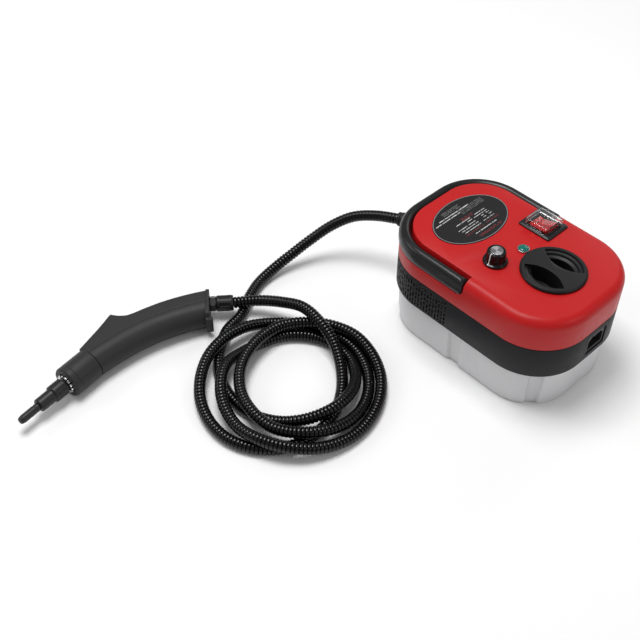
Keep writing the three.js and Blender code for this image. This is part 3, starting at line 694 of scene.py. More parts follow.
# %% Plan outline
LENGTH, WIDTH, CORNER = 242.0, 165.0, 62.0
GROOVE_HALF, GROOVE_BEVEL, GROOVE_DEPTH = 9.0, 2.6, 3.0


def plan_stations():
    """Points of the plan with outward normals, and how far each lies in a groove, 0 to 1."""
    stations = []
    a, b = LENGTH / 2 - CORNER, WIDTH / 2 - CORNER
    fine = np.linspace(36, 54, 25)
    angles = [*np.linspace(0, 35, 13), *fine, *np.linspace(55, 90, 13)]
    side = [*np.linspace(-a, -10, 14)[1:], *np.linspace(-9, 9, 22), *np.linspace(10, a, 14)[:-1]]
    for quarter, (cx, cy) in enumerate([(a, b), (-a, b), (-a, -b), (a, -b)]):
        for degrees in angles:
            turn = math.radians(degrees + 90 * quarter)
            n = (math.cos(turn), math.sin(turn))
            off = abs(math.radians(degrees - 45)) * CORNER
            stations.append((cx + CORNER * n[0], cy + CORNER * n[1], *n, off))
        sign = 1 if quarter in (0, 3) else -1
        if quarter % 2 == 0:
            stations += [(-sign * x, sign * WIDTH / 2, 0.0, float(sign), abs(x)) for x in side]
        else:
            stations += [(sign * LENGTH / 2, sign * y, float(sign), 0.0, 99.0)
                         for y in np.linspace(-b, b, 8)[1:-1]]
    result = []
    for x, y, nx, ny, off in stations:
        rise = min(1.0, max(0.0, (GROOVE_HALF - off) / GROOVE_BEVEL))
        result.append((x, y, nx, ny, rise * rise * (3 - 2 * rise)))
    return result


STATIONS = plan_stations()


def level(z, inset, groove=0.0):
    """The plan at a height, moved inwards, and further inwards where it lies in a groove."""
    inward = [(x, y, nx, ny, inset + depth * groove) for x, y, nx, ny, depth in STATIONS]
    return [(x - nx * d, y - ny * d, z) for x, y, nx, ny, d in inward]


def levels(pairs, groove=0.0):
    return [level(z, inset, groove) for z, inset in pairs]


def quarter_round(z, inset, radius, steps, upper=True):
    """(height, inset) pairs of a rounded edge: from wall to top, or from floor to wall."""
    turns = [math.pi / 2 * k / steps for k in range(steps + 1)]
    pairs = [(radius * (1 - math.sin(t)), inset + radius * (1 - math.cos(t))) for t in turns]
    if upper:
        return [(z - drop, reach) for drop, reach in pairs]
    return [(z + rise, reach) for rise, reach in reversed(pairs)]


print("plan has", len(STATIONS), "stations")

# %% Water tank
TANK_TOP, WALL = 51.6, 2.5
tank_outside = quarter_round(0, 5.3, 3.5, 5, upper=False)
tank_outside += [(20, 4.6), (40, 3.7), (50.8, 3.2), (TANK_TOP, 3.5)]
tank_inside = [(TANK_TOP, 5.4), (50.6, 5.7), (40, 6.2), (20, 7.1), (6, 7.7), (4, 8.4), (3, 10)]
water_tank = stacked("clear_tank", levels(tank_outside + tank_inside, GROOVE_DEPTH), tank_plastic)
settle(water_tank, "housing", "tank_plastic", "water_tank")

# %% [markdown]
# The band is the chassis. It carries the boiler and pump, the mains inlet and the hose outlet, and it
# breathes through slots: staggered columns of short and long ones round its rear end. Real slots are cut
# into the wall, so each is a small cutter placed by Geometry Nodes along the plan. The cutters leave a
# near-black finish on the slot faces, painted shade for the dark inside of the slots.

# %% Vent slots
# painted shade: a near-black finish that the cutters leave on the slot faces, standing in for the shade
# inside the slots
slot_painted_shade = moulded("slot_painted_shade", (0.002, 0.002, 0.002), 0.8, 0.4, 0.004)
BAND_LOW, BAND_HIGH = 52.0, 92.6
SLOT_PITCH, SLOT_WIDTH, SLOT_DEPTH = 4.2, 2.2, 1.9
SLOT_LENGTHS, SLOT_GAP = (2.6, 4.4, 6.4, 8.6), 1.9


def slot_tree():
    """Cutters on points, each turned outward and as long as its point says."""
    sockets = [("Width", "Float"), ("Depth", "Float"), ("Material", "Material")]
    graph, first, given = new_tree("vent_slots", sockets)
    points = graph.node("GeometryNodeMeshToPoints", {}, {0: first})
    outward_of = graph.attribute("outward", "FLOAT_VECTOR")
    turn = graph.facing(outward_of)
    height = graph.attribute("length", "FLOAT")
    size = graph.node("ShaderNodeCombineXYZ", {}, {0: given["Depth"], 1: given["Width"], 2: height})
    reach = 0.5 / math.cos(math.pi / 8)  # an eight-sided peg one unit wide over its flats
    peg = graph.node("GeometryNodeMeshCylinder", {}, {"Vertices": 8, "Radius": reach, "Depth": 1.0})
    lying = graph.node("GeometryNodeTransform", {}, {"Geometry": peg, "Rotation": (0, math.pi / 2, 0)})
    placed = graph.node("GeometryNodeInstanceOnPoints", {},
                        {"Points": points, "Instance": lying, "Rotation": turn, "Scale": size})
    return close_tree(graph, placed, given["Material"])


def plan_walk(inset, start, stop, step):
    """Evenly spaced (x, y, nx, ny) along the plan between two shares of its length."""
    ring = np.array([(x - nx * inset, y - ny * inset, nx, ny) for x, y, nx, ny, _ in STATIONS])
    ring = np.vstack([ring, ring[:1]])
    run = np.concatenate([[0], np.cumsum(np.linalg.norm(np.diff(ring[:, :2], axis=0), axis=1))])
    wanted = np.arange(start * run[-1], stop * run[-1], step)
    return np.stack([np.interp(wanted, run, ring[:, k]) for k in range(4)], axis=1)


def vent_points():
    """Columns of slots filled from the bottom up with lengths drawn from a fixed seed."""
    draw = random.Random(11)
    places, normals, lengths = [], [], []
    for column, (x, y, nx, ny) in enumerate(plan_walk(0, 0.225, 0.775, SLOT_PITCH)):
        z = BAND_LOW + (2.4 if column % 2 else 3.6)
        while x < -12:
            tall = draw.choice(SLOT_LENGTHS)
            if z + tall > BAND_HIGH - 2.2:
                break
            middle = z + tall / 2
            # the wall round the hose outlet stays whole
            if x > -100 or math.hypot(y, middle - OUTLET_Z) > 18:
                places.append((x * MM, y * MM, middle * MM))
                normals.append((nx, ny, 0.0))
                lengths.append(tall * MM)
            z += tall + SLOT_GAP
    mesh = bpy.data.meshes.new("vent_points")
    mesh.from_pydata(places, [], [])
    outward_of = mesh.attributes.new("outward", "FLOAT_VECTOR", "POINT")
    outward_of.data.foreach_set("vector", np.array(normals, np.float32).ravel())
    length = mesh.attributes.new("length", "FLOAT", "POINT")
    length.data.foreach_set("value", np.array(lengths, np.float32))
    print("vent slots:", len(places))
    return mesh


vent_values = {"Width": SLOT_WIDTH * MM, "Depth": 2 * SLOT_DEPTH * MM, "Material": slot_painted_shade}
vent_cutters = grown("vent_cutters", vent_points(), slot_tree(), vent_values, merge=False)

# %% Band
INLET_Y, INLET_Z = 6.0, 72.0
CAP_X, NECK_RADIUS = 57.0, 32.3
band_outside = [(BAND_LOW, 0.9), (BAND_LOW + 0.3, 0.3), (BAND_LOW + 0.9, 0), (BAND_HIGH - 0.8, 0),
                (BAND_HIGH - 0.2, 0.3), (BAND_HIGH, 0.8)]
band_inside = [(BAND_HIGH, WALL), (BAND_LOW + 3, WALL)]
band = stacked("vented_band", levels(band_outside + band_inside), black_shell)


def inlet_block(half_width, half_height):
    return middle_block(half_width, half_height, INLET_Y, INLET_Z)


inlet_hole = pushed("inlet_hole", eased(inlet_block(15.8, 12.8), 1.0), 111, 126, None, UPRIGHT)
neck_hole = pushed("neck_hole", disc(NECK_RADIUS, 64, (CAP_X, 0)), 40, 60)
intake_hole = pushed("intake_hole", disc(4, 24, (-48.2, -37.9)), 40, 60)
outlet_hole = pushed("outlet_hole", disc(8.3, 40), -10, 10, None, outward)
cut(band, inlet_hole, neck_hole, intake_hole, outlet_hole, vent_cutters, sharp=30)
settle(band, "housing", "black_shell", "middle_housing")

# %% [markdown]
# The cover is one soft red moulding with a shoulder cut round its rear, where the carry handle lies.
# What is left inside the shoulder stands up as an island with a broken edge, and carries the label.

# %% Top cover
COVER_LOW, COVER_TOP, FILLET = 93.0, 132.0, 11.0
PIVOT_X, PIVOT_Z, END_RADIUS = -5.0, 121.2, 9.2
OUTSET, HANDLE_WIDTH, HANDLE_LOW, HANDLE_TOP = 1.2, 14.2, 112.5, 130.4


def shoulder(name, clearance, flare):
    """Room that the handle and its swing take, grown by a clearance."""
    ledge, reach = HANDLE_LOW - clearance, END_RADIUS + clearance
    turn = np.linspace(-math.pi / 2, 0, 17)
    side = [(-150, ledge), (PIVOT_X, ledge)]
    side += [(PIVOT_X + reach * math.cos(a), PIVOT_Z + reach * math.sin(a)) for a in turn
             if PIVOT_Z + reach * math.sin(a) > ledge]
    side += [(PIVOT_X + reach, 160), (-150, 160)]
    room = pushed(name, side, -110, 110, None, ACROSS)
    inner = HANDLE_WIDTH - OUTSET + clearance
    island = [(90, inner), (COVER_TOP - flare, inner), (COVER_TOP - flare * 0.3, inner + flare * 0.3),
              (COVER_TOP + 0.01, inner + flare), (180, inner + flare)]
    return cut(room, stacked("island", levels(island)))


cover_outside = [(COVER_LOW, 0.7), (COVER_LOW + 0.2, 0.2), (COVER_LOW + 0.7, 0)]
cover_outside += quarter_round(COVER_TOP, 0, FILLET, 12)
cover = stacked("red_cover", levels(cover_outside), red_shell)
cover_inside = [(COVER_LOW - 1, WALL), *quarter_round(COVER_TOP - WALL, WALL, FILLET - WALL, 5)]
room_inside = stacked("room", levels(cover_inside))
cut(room_inside, shoulder("inner_shoulder", 0.8 + WALL, 0.5))
cut(cover, shoulder("outer_shoulder", 0.8, 1.0))
cut(cover, room_inside)

SWITCH_X, SWITCH_Y = 4.0, 50.0
KNOB_X, KNOB_Y = 5.5, -33.0
LAMP_X, LAMP_Y = 14.0, 3.5
LABEL_X, LABEL_HALF = -57.5, (34.5, 49.5)


def oval(grow, z=None):
    """The label's outline, grown by a margin; flat, or at a height."""
    a, b = LABEL_HALF[0] + grow, LABEL_HALF[1] + grow
    height = () if z is None else (z,)
    return [(LABEL_X + a * x, b * y, *height) for x, y in disc(1, 120)]


def pin_hole(half_length):
    place = at(PIVOT_X, 0, PIVOT_Z) @ ACROSS
    return pushed("pin_hole", disc(2.8, 24), -half_length, half_length, None, place)


switch_outline = middle_block(15.5, 14, SWITCH_X, SWITCH_Y)
holes = [
    pin_hole(90),
    pushed("neck_hole", disc(NECK_RADIUS + 0.2, 64, (CAP_X, 0)), 120, 140),
    pushed("switch_hole", switch_outline, 120, 140),
    pushed("shaft_hole", disc(4, 32, (KNOB_X, KNOB_Y)), 120, 140),
    pushed("lamp_hole", disc(4.6, 32, (LAMP_X, LAMP_Y)), 120, 140),
    pushed("label_seat", oval(0.3), COVER_TOP - 0.5, COVER_TOP + 5),
]
cut(cover, *holes, sharp=30)
settle(cover, "housing", "red_shell", "top_cover")

# %% Carry handle
CREST = HANDLE_WIDTH / 2 - OUTSET
SPRING_LINE = HANDLE_TOP - 8.6
arch = [math.pi * k / 20 for k in range(21)]
handle_section = [(CREST + 7.1 * math.cos(a), SPRING_LINE + 8.6 * math.sin(a)) for a in arch]
handle_section += [(-1.2, 115.4), (-0.5, 113.4), (1.5, HANDLE_LOW), (11.5, HANDLE_LOW), (12.6, 113.0),
                   (13.0, 114.2)]
HANDLE_END = 4.6
rear = [station[:4] for station in STATIONS if station[0] <= HANDLE_END - 0.1]
rear.sort(key=lambda station: math.atan2(station[1], station[0] - 20) % (2 * math.pi))
rear = [(HANDLE_END, WIDTH / 2, 0, 1), *rear, (HANDLE_END, -WIDTH / 2, 0, -1)]
handle_rings = [[(x - nx * inset, y - ny * inset, z) for inset, z in handle_section]
                for x, y, nx, ny in rear]
handle = stacked("carry_handle_bar", handle_rings, handle_black)
end_arc = [(PIVOT_X + END_RADIUS * math.cos(a), PIVOT_Z + END_RADIUS * math.sin(a))
           for a in np.linspace(-math.pi / 2, math.pi / 2, 25)]
beyond_ends = [(PIVOT_X, 100), (30, 100), (30, 140), (PIVOT_X, 140), *reversed(end_arc)]
cut(handle, pushed("ahead", beyond_ends, -100, 100, None, ACROSS), pin_hole(81))
softened(handle, 2.2, 4, 55)
settle(handle, "carry_handle", "black_shell", "carry_handle")

# %% [markdown]
# The label is an oval plate with a thin ring round its edge, coloured light grey as a painted highlight
# where the edge catches light. Its print is made of plain bars: every line of print is an edge, and
# Geometry Nodes walks along it, setting a small bar at each step and leaving out one here and there, so
# the line breaks up into what reads as words from a distance.

# %% Label plate and rim
PLATE_TOP = 132.6
plate_levels = [(0.0, 131.8), (0.0, PLATE_TOP - 0.15), (-0.15, PLATE_TOP)]
plate = stacked("label_oval", [oval(grow, z) for grow, z in plate_levels], cap_black)
label_white = moulded("label_white", (0.60, 0.60, 0.60), 0.5, 0.6, 0.002)
label_grey = moulded("label_grey", (0.20, 0.20, 0.205), 0.5, 0.6, 0.002)
label_red = moulded("label_red", (0.20, 0.012, 0.014), 0.5, 0.6, 0.002)
settle(plate, "housing", "label_plate", "label_plate")
# painted highlight: a thin light grey ring along the label's edge, standing in for the light caught by
# its chamfer
painted_rim_levels = [(-0.5, -0.1), (-0.5, 0.08), (-1.3, 0.08), (-1.3, -0.1)]
rim = stacked("label_painted_highlight_rim", [oval(grow, PLATE_TOP + rise) for grow, rise in painted_rim_levels], label_grey)
settle(rim, "housing", "label_plate")


# %% Print on the label
def print_tree():
    sockets = [("Step", "Float"), ("Bar", "Vector"), ("Kept", "Float"), ("Seed", "Int"),
               ("Material", "Material")]
    graph, first, given = new_tree("label_print", sockets)
    line = graph.node("GeometryNodeMeshToCurve", {}, {0: first})
    walk = graph.node("GeometryNodeResampleCurve", {"mode": "LENGTH"},
                      {"Curve": line, "Length": given["Step"]})
    keep = graph.node("FunctionNodeRandomValue", {"data_type": "BOOLEAN"},
                      {"Probability": given["Kept"], "Seed": given["Seed"]}, 3)
    stretch = graph.node("FunctionNodeRandomValue", {"data_type": "FLOAT"},
                         {2: 0.55, 3: 1.25, "Seed": 3}, 1)
    size = graph.node("ShaderNodeCombineXYZ", {}, {0: 1.0, 1: stretch, 2: 1.0})
    bar = graph.node("GeometryNodeMeshCube", {}, {"Size": given["Bar"]})
    placed = graph.node("GeometryNodeInstanceOnPoints", {},
                        {"Points": walk, "Selection": keep, "Instance": bar, "Scale": size})
    return close_tree(graph, placed, given["Material"])


PRINT = print_tree()


def printed(name, rows, bar, step, kept, seed, finish):
    """rows are (offset, from, to) from the label's centre; bar is width, length, height."""
    ends = [Vector((LABEL_X + dx, y, PLATE_TOP)) * MM for dx, y0, y1 in rows for y in (y0, y1)]
    mesh = bpy.data.meshes.new(name)
    mesh.from_pydata([tuple(p) for p in ends], [(i, i + 1) for i in range(0, len(ends), 2)], [])
    size = tuple(MM * b for b in bar)
    values = {"Step": step * MM, "Bar": size, "Kept": kept, "Seed": seed, "Material": finish}
    settle(grown(name, mesh, PRINT, values), "housing", "label_plate")


headings = [(-18.5, -30, 17.7), (-15, -39, -1), (20.6, -14, 20)]
left_rows = [(-1.8, -20.7, 0.2), (1.4, -7.2, 0.8), (5.7, -25.7, 1), (9.1, -23.4, 2.1),
             (12.7, -22.1, 2.4)]
right_rows = [(-1.7, 9, 24.2), (1.6, 4.3, 24.8), (4.6, 13, 16), (4.6, 21, 25), (8, 13, 16), (8, 22, 26),
              (12.1, 8.7, 26.1)]
small_rows = [(-26 + 2 * k, -19, 7) for k in range(3)] + [(-17.5 + 2.1 * k, -1, 35) for k in range(4)]
red_rows = [(-6, -10, 9), (-3.5, -10, 7), (16.2, -24, 2.4), (16, 7, 27.9)]
red_dots = [(25.2, -13.5, 20.7), (26.9, -13.5, 20.7)]
printed("label_headings", headings, (1.15, 0.9, 0.1), 1.15, 0.88, 4, label_white)
printed("label_left_rows", left_rows, (0.95, 0.85, 0.1), 1.1, 0.86, 9, label_white)
printed("label_right_rows", right_rows, (0.95, 0.85, 0.1), 1.1, 0.9, 5, label_white)
printed("label_small_print", small_rows, (0.7, 0.8, 0.08), 1.05, 0.85, 12, label_grey)
printed("label_red_rows", red_rows, (1.1, 0.9, 0.1), 1.2, 0.85, 2, label_red)
printed("label_red_dots", red_dots, (1.0, 0.9, 0.1), 1.3, 0.8, 6, label_red)

# %% [markdown]
# ## Cap and controls
# The filler cap is turned, with two deep lens-shaped recesses that leave a bridge to grip. Knob,
# socket ring and collars repeat a cut round an axis, so one tree sets pegs round a circle and the
# piece is cut with them.

# %% Ring of cutters
def peg_tree():
    sockets = [("Count", "Int"), ("Ring", "Float"), ("Peg", "Vector"), ("Round", "Bool"),
               ("Material", "Material")]
    graph, first, given = new_tree("peg_ring", sockets)
    circle = graph.node("GeometryNodeMeshCircle", {},
                        {"Vertices": given["Count"], "Radius": given["Ring"]})
    turn = graph.facing(graph.node("GeometryNodeInputPosition"))
    peg = graph.node("GeometryNodeMeshCylinder", {}, {"Vertices": 28, "Radius": 0.5, "Depth": 1.0})
    cube = graph.node("GeometryNodeMeshCube")
    shape = graph.node("GeometryNodeSwitch", {"input_type": "GEOMETRY"},
                       {"Switch": given["Round"], "False": cube, "True": peg})
    placed = graph.node("GeometryNodeInstanceOnPoints", {},
                        {"Points": circle, "Instance": shape, "Rotation": turn, "Scale": given["Peg"]})
    return close_tree(graph, placed, given["Material"])


PEGS = peg_tree()


def pegs(count, ring, size, place, is_round):
    """Cutters round a circle about Z; size is radial, around and along, in millimetres."""
    values = {"Count": count, "Ring": ring * MM, "Peg": tuple(MM * s for s in size), "Round": is_round,
              "Material": cap_black}
    made = grown("pegs", bpy.data.meshes.new("pegs"), PEGS, values, merge=False)
    made.data.transform(in_metres(place))
    return made


# %% Filler cap
CAP_LOW, CAP_TOP, CAP_RADIUS = 132.3, 135.9, 35.6
cap_corners = [(0, 113.3), (24.6, 113.3), (24.6, 129.1), (28.6, 129.1), (28.6, CAP_LOW),
               (CAP_RADIUS, CAP_LOW), (CAP_RADIUS, 134.3), (33.9, CAP_TOP), (0, CAP_TOP)]
cap_profile = eased(cap_corners, [0, 0.8, 0.3, 0.4, 0.2, 0.5, 0.8, 1.2, 0], closed=False)
cap = turned("filler_cap_top", cap_profile, cap_black, at(CAP_X, 0), 112)


def recess(side, outer):
    """Lens between a circle round the cap's centre and a circle that bulges towards it."""
    inner, centre = 36.0, 42.0
    y = (outer**2 - inner**2 + centre**2) / (2 * centre)
    x = math.sqrt(outer**2 - y**2)
    far = np.linspace(math.atan2(y, x), math.atan2(y, -x), 41)
    near = np.linspace(math.atan2(y - centre, -x), math.atan2(y - centre, x), 41)[1:-1]
    edge = [(outer * math.cos(a), outer * math.sin(a)) for a in far]
    edge += [(inner * math.cos(a), centre + inner * math.sin(a)) for a in near]
    return [(px + CAP_X, side * py) for px, py in edge]


# a wide shallow step under the rim, then the deep well that fingers reach into
RECESS_STEPS = [(115.8, 21.6), (116.8, 22.6), (129.4, 22.8), (130.0, 23.4), (130.4, 26.6),
                (133.0, 27.2), (133.2, 30.2), (135.3, 30.4), (136.5, 31.2)]
for side in (1, -1):
    rings = [[(x, y, z) for x, y in recess(side, outer)] for z, outer in RECESS_STEPS]
    cut(cap, stacked("recess", rings))
softened(cap, 0.35, 2, 50)
settle(cap, "filler_cap", "soft_black", "filler_cap")

# %% Power switch
DECK = COVER_TOP + GAP
FRAME_X, FRAME_Y = 21.0, 17.75  # half sizes of the frame
switch_place = at(SWITCH_X, SWITCH_Y, DECK)
frame_outline = eased(middle_block(FRAME_X, FRAME_Y), 2.2)


def framed(shrink, z):
    return [(x * (1 - shrink / FRAME_X), y * (1 - shrink / FRAME_Y), z) for x, y in frame_outline]


frame_levels = [(0, 0), (0, 1.0), (0.3, 1.5), (2.2, 2.3), (2.6, 2.4)]
bezel = stacked("switch_frame", [framed(s, z) for s, z in frame_levels], switch_black, switch_place)
stem = pushed("stem", middle_block(15, 13.5), -24, 1, None, switch_place)
well = pushed("well", eased(middle_block(12.6, 10.6), 0.8), -8, 10, None, switch_place)
join(bezel, stem)
cut(bezel, well, sharp=25)
settle(bezel, "housing", "soft_black", "switch_body")

dip = [(-11.6 + 23.2 * k / 16, 1.2 - 1.4 * (1 - (k / 8 - 1) ** 2)) for k in range(17)]
rocker_side = [*reversed(dip), (-11.4, -2.6), (-3, -6), (3, -6), (11.4, -2.6)]
rocker_place = switch_place @ at(0, 0, 2.2) @ about("Y", -8) @ ACROSS
rocker = pushed("switch_rocker", rocker_side, -10, 10, rocker_red, rocker_place)
softened(rocker, 0.5, 3, 40)
settle(rocker, "power_rocker", "red_rocker", "power_rocker")

COVER_FOOT, COVER_HEAD, GLASS = 2.7, 9.9, 1.2
glass_outline = eased(middle_block(15.5, 14.5), 2.5)
glass = pushed("splash_cover", glass_outline, COVER_FOOT, COVER_HEAD, splash_clear, switch_place)
softened(glass, 1.3, 3, 60)
inside_outline = eased(middle_block(15.5 - GLASS, 14.5 - GLASS), 1.5)
inside = pushed("inside", inside_outline, COVER_FOOT - 1, COVER_HEAD - GLASS, None, switch_place)
softened(inside, 0.9, 3, 60)
cut(glass, inside)
settle(glass, "housing", "clear_plastic", "switch_cover")

# %% Status lamp
lamp_place = at(LAMP_X, LAMP_Y, DECK)
ring_profile = [(4.7, 0), (6.6, 0), (6.6, 0.9), (6.4, 1.35), (6.0, 1.5), (4.7, 1.5)]
lamp_ring = turned("lamp_ring", ring_profile, lamp_metal, lamp_place, 56)
settle(lamp_ring, "housing", "aluminium", "lamp_bezel")
dome = [(5.7 * math.cos(a), 1.7 + 1.8 * math.sin(a)) for a in np.linspace(0, math.pi / 2, 9)[:-1]]
lens_profile = [(0, -12), (4.2, -12), (4.2, 1.55), (5.7, 1.55), *dome, (0, 3.5)]
lamp_dome = turned("lamp_dome", lens_profile, lens_green, lamp_place, 48)
settle(lamp_dome, "housing", "lamp_lens", "lamp_lens")

# %% Steam knob, its insert and pointer
knob_place = at(KNOB_X, KNOB_Y, COVER_TOP + 0.5)
knob_corners = [(3.2, 0), (13.5, 0), (13.5, 2.0), (11.2, 3.0), (10.2, 14.0), (9.4, 15.0), (7.4, 15.0),
                (7.4, 14.0), (3.2, 14.0)]
knob_profile = eased(knob_corners, [0, 0.4, 0.9, 1.0, 0.6, 0.6, 0.3, 0.2, 0])
knob = turned("steam_knob", knob_profile, gloss_black, knob_place, 96)
flutes = pegs(8, 12.7, (6.4, 6.4, 20.0), knob_place @ at(0, 0, 12.9), True)
cut(knob, flutes, sharp=30)
plug = turned("plug", [(0, 9), (3.4, 9), (3.4, 14), (0, 14)], None, knob_place, 48)
join(knob, plug, sharp=30)
softened(knob, 0.25, 2, 35)
settle(knob, "steam_regulator", "gloss_black", "regulator_knob")
turned_disc = metal("turned_disc", (0.86, 0.86, 0.88), 0.24, (KNOB_X * MM, KNOB_Y * MM, 0))
disc_corners = [(0, 14.3), (7, 14.3), (7, 15.0), (6.6, 15.3), (0, 15.1)]
disc_profile = eased(disc_corners, [0, 0.2, 0.2, 0.2, 0], closed=False)
insert = turned("knob_disc", disc_profile, turned_disc, knob_place, 96)
settle(insert, "steam_regulator", "steel", "knob_insert")
pointer = pushed("knob_pointer", block(-0.55, 0.55, -9.9, -7.6), 14.6, 15.12, label_white, knob_place)
stripe_side = [(-9.3, 15.02), (-10.15, 13.9), (-11.25, 3.1), (-13.35, 2.15), (-13.35, 2.35),
               (-11.4, 3.3), (-10.35, 13.9), (-9.4, 15.15)]
stripe = pushed("stripe", stripe_side, -0.55, 0.55, label_white, knob_place @ UPRIGHT)
settle(join(pointer, stripe), "steam_regulator", "gloss_black")

# %% Mains inlet
FACE = LENGTH / 2
flange = eased(inlet_block(15.5, 12.5), 1.5)
socket = pushed("inlet_socket", flange, FACE - 3.5, FACE - 1.2, switch_black, UPRIGHT)
softened(socket, 0.5, 2, 60)
socket_body = pushed("body", inlet_block(15, 12), FACE - 27, FACE - 3, None, UPRIGHT)
mouth = [(-12.4, -8.4), (12.4, -8.4), (12.4, 3.6), (7.8, 8.4), (-7.8, 8.4), (-12.4, 3.6)]
mouth = eased([(INLET_Y + y, INLET_Z + z) for y, z in mouth], 1.0)
cavity = pushed("cavity", mouth, FACE - 22, FACE + 5, None, UPRIGHT)
join(socket, socket_body)
cut(socket, cavity)
softened(socket, 0.25, 2, 60)
settle(socket, "housing", "soft_black", "mains_inlet")

# %% [markdown]
# ## Steam gun
# The gun lies on its side. Its body is a bent tube with a flat web rising to a fin, so each section
# is the same outline: a circle below, two flat cheeks and a rounded ridge above. The sections follow
# the barrel's line, and the height of the ridge over that line sets how far the web rises.

# %% Lines of the gun body
GUN_RADIUS, CHEEK, SHELL = 17.5, 14.8, 2.5
# the barrel stops standing out this far before the end of its line, and fades over the last stretch
BODY_LENGTH, BULGE_END, BULGE_FADE = 205.0, 30.0, 9.0
AXIS = [(-25, 0.4), (-37, -0.5), (-50, -2), (-63, -4), (-88, -9), (-113, -16.7), (-133, -25.5),
        (-152, -35.6), (-172, -48.5), (-196, -66), (-208, -75)]
RISE = [(-20, 14), (-37.3, 16.4), (-50, 18.6), (-65, 21.2), (-82, 24.6), (-91, 26.8), (-95.6, 27.6)]
FALL = [(-95.6, 27.6), (-97.2, 23.6), (-99.5, 19.4), (-102.5, 15.4), (-106.5, 11.8), (-114.4, 8.0),
        (-124, 4.4), (-142.7, -3.4), (-159.5, -12.2), (-176.5, -22.8), (-197, -37.5), (-212, -49)]


def flat_line(points, count):
    return smooth_line([(x, y, 0.0) for x, y in points], count)[:, :2]


def ridge_height(ridge, place, along, up):
    """How far the ridge lies from a point of the barrel line, measured at right angles to it."""
    arms = ridge - place
    ahead, height = arms @ along, arms @ up
    nearest = int(np.argmin(np.abs(ahead)))
    other = min(len(ridge) - 1, nearest + 1) if ahead[nearest] < 0 else max(0, nearest - 1)
    span = ahead[other] - ahead[nearest]
    share = 0.0 if abs(span) < 1e-9 else min(1.0, max(0.0, -ahead[nearest] / span))
    return height[nearest] + share * (height[other] - height[nearest])


def gun_section(radius, cheek, height, bulge):
    """Half outline (up, across) from the ridge's crown to the barrel's underside.

    bulge, 0 to 1, is how far the round barrel stands out past the flat cheeks.
    """
    crown = min(5.0, height * 0.3)
    fillet = [(height - crown + crown * math.cos(a), cheek - crown + crown * math.sin(a))
              for a in np.linspace(0, math.pi / 2, 8)]
    foot = min(4.4, height - crown - 0.4)  # the cheek stops here, at a bead beside the barrel
    web = [(height - crown + (foot - height + crown) * k / 3, cheek) for k in (1, 2, 3)]
    bead = [(0.5, 0.35), (1.1, 0.20), (1.8, 0.45), (2.1, 1.05)]  # below the foot, short of the radius
    web += [(foot - drop, cheek + (radius - short - cheek) * bulge) for drop, short in bead]
    round_side = []
    for a in np.linspace(math.asin(1.6 / radius), -math.pi / 2, 22):
        out = radius * math.cos(a)
        swell = cheek + (out - cheek) * bulge if out > cheek else out
        round_side.append((radius * math.sin(a), swell))
    return [(height, 0.0), *fillet, *web, *round_side]


def gun_solid(name, shrink, finish=None):
    """The whole body as one loft, made smaller by shrink for the room inside."""
    line = flat_line(AXIS, 220)
    ridge = np.vstack([flat_line(RISE, 300), flat_line(FALL, 500)[1:]])
    rings = []
    for i, place in enumerate(line):
        along = line[min(i + 1, len(line) - 1)] - line[max(i - 1, 0)]
        along = along / np.linalg.norm(along)
        up = np.array([along[1], -along[0]])
        height = max(GUN_RADIUS - 1, ridge_height(ridge, place, along, up)) - shrink * 1.3
        left = (len(line) - 1 - i) / len(line) * BODY_LENGTH - BULGE_END
        bulge = math.sqrt(1 - (1 - min(1.0, max(0.0, left / BULGE_FADE))) ** 2)
        half = gun_section(GUN_RADIUS - shrink, CHEEK - shrink, height, bulge)
        outline = half + [(u, -z) for u, z in reversed(half[1:-1])]
        rings.append([(*(place + up * u), z) for u, z in outline])
    return stacked(name, rings, finish, None, 24)


def slab(x0, x1, y0, y1, z0, z1):
    return pushed("slab", block(x0, x1, y0, y1), z0, z1)


def behind_tail(distance):
    """Everything beyond a plane before the tail's face, in the gun's own frame."""
    return pushed("beyond", block(-distance, 200, -150, 150), -60, 60, None, TAIL_IN_GUN)


# %% Gun shells
BUTTON_PLACE = at(-115.8, 4) @ about("Z", 19.9)
GUN_SCREWS = [(-60, 10), (-138.5, -12.4), (-169, -27)]
TAIL_BORE = 6.4

body = gun_solid("gun_body", 0.0, gun_grey)
room = gun_solid("gun_room", SHELL)
cut(room, slab(-39, 60, -100, 100, -60, 60), behind_tail(6.3),
    *[pushed("column", disc(4, 24, c), -40, 40) for c in GUN_SCREWS])
cutters = [slab(-37.3, 60, -100, 100, -60, 60), behind_tail(4.3), room,
           pushed("front_bore", disc(9, 40), -60, -30, None, LYING_X),
           pushed("tail_bore", disc(TAIL_BORE, 32), -20, 10, None, TAIL_IN_GUN @ LYING_X),
           pushed("button_slot", eased(middle_block(6.9, 11), 0.6), -4.9, 4.9, None, BUTTON_PLACE)]
cutters += [pushed("sink", disc(3.4, 32, c), CHEEK - 2.9, 40) for c in GUN_SCREWS]
cut(body, *cutters, sharp=24)
for name, low, high, node in (("gun_half_upper", -60, -0.12, "gun_shell_upper"),
                              ("gun_half_lower", 0.12, 60, "gun_shell_lower")):
    half = bpy.data.objects.new(name, body.data.copy())
    scene.collection.objects.link(half)
    combine(half, [slab(-260, 60, -120, 100, low, high)], "INTERSECT", 24)
    half.data.transform(in_metres(GUN))
    settle(half, "housing", "gun_shell", node)
bpy.data.objects.remove(body)


# %% Screws of the gun, each with a cross in its head
HEAD_PROFILE = [(0, -2.1), (2.9, -2.1), (2.9, -0.7), (2.3, -0.15), (1.2, 0), (0, 0)]


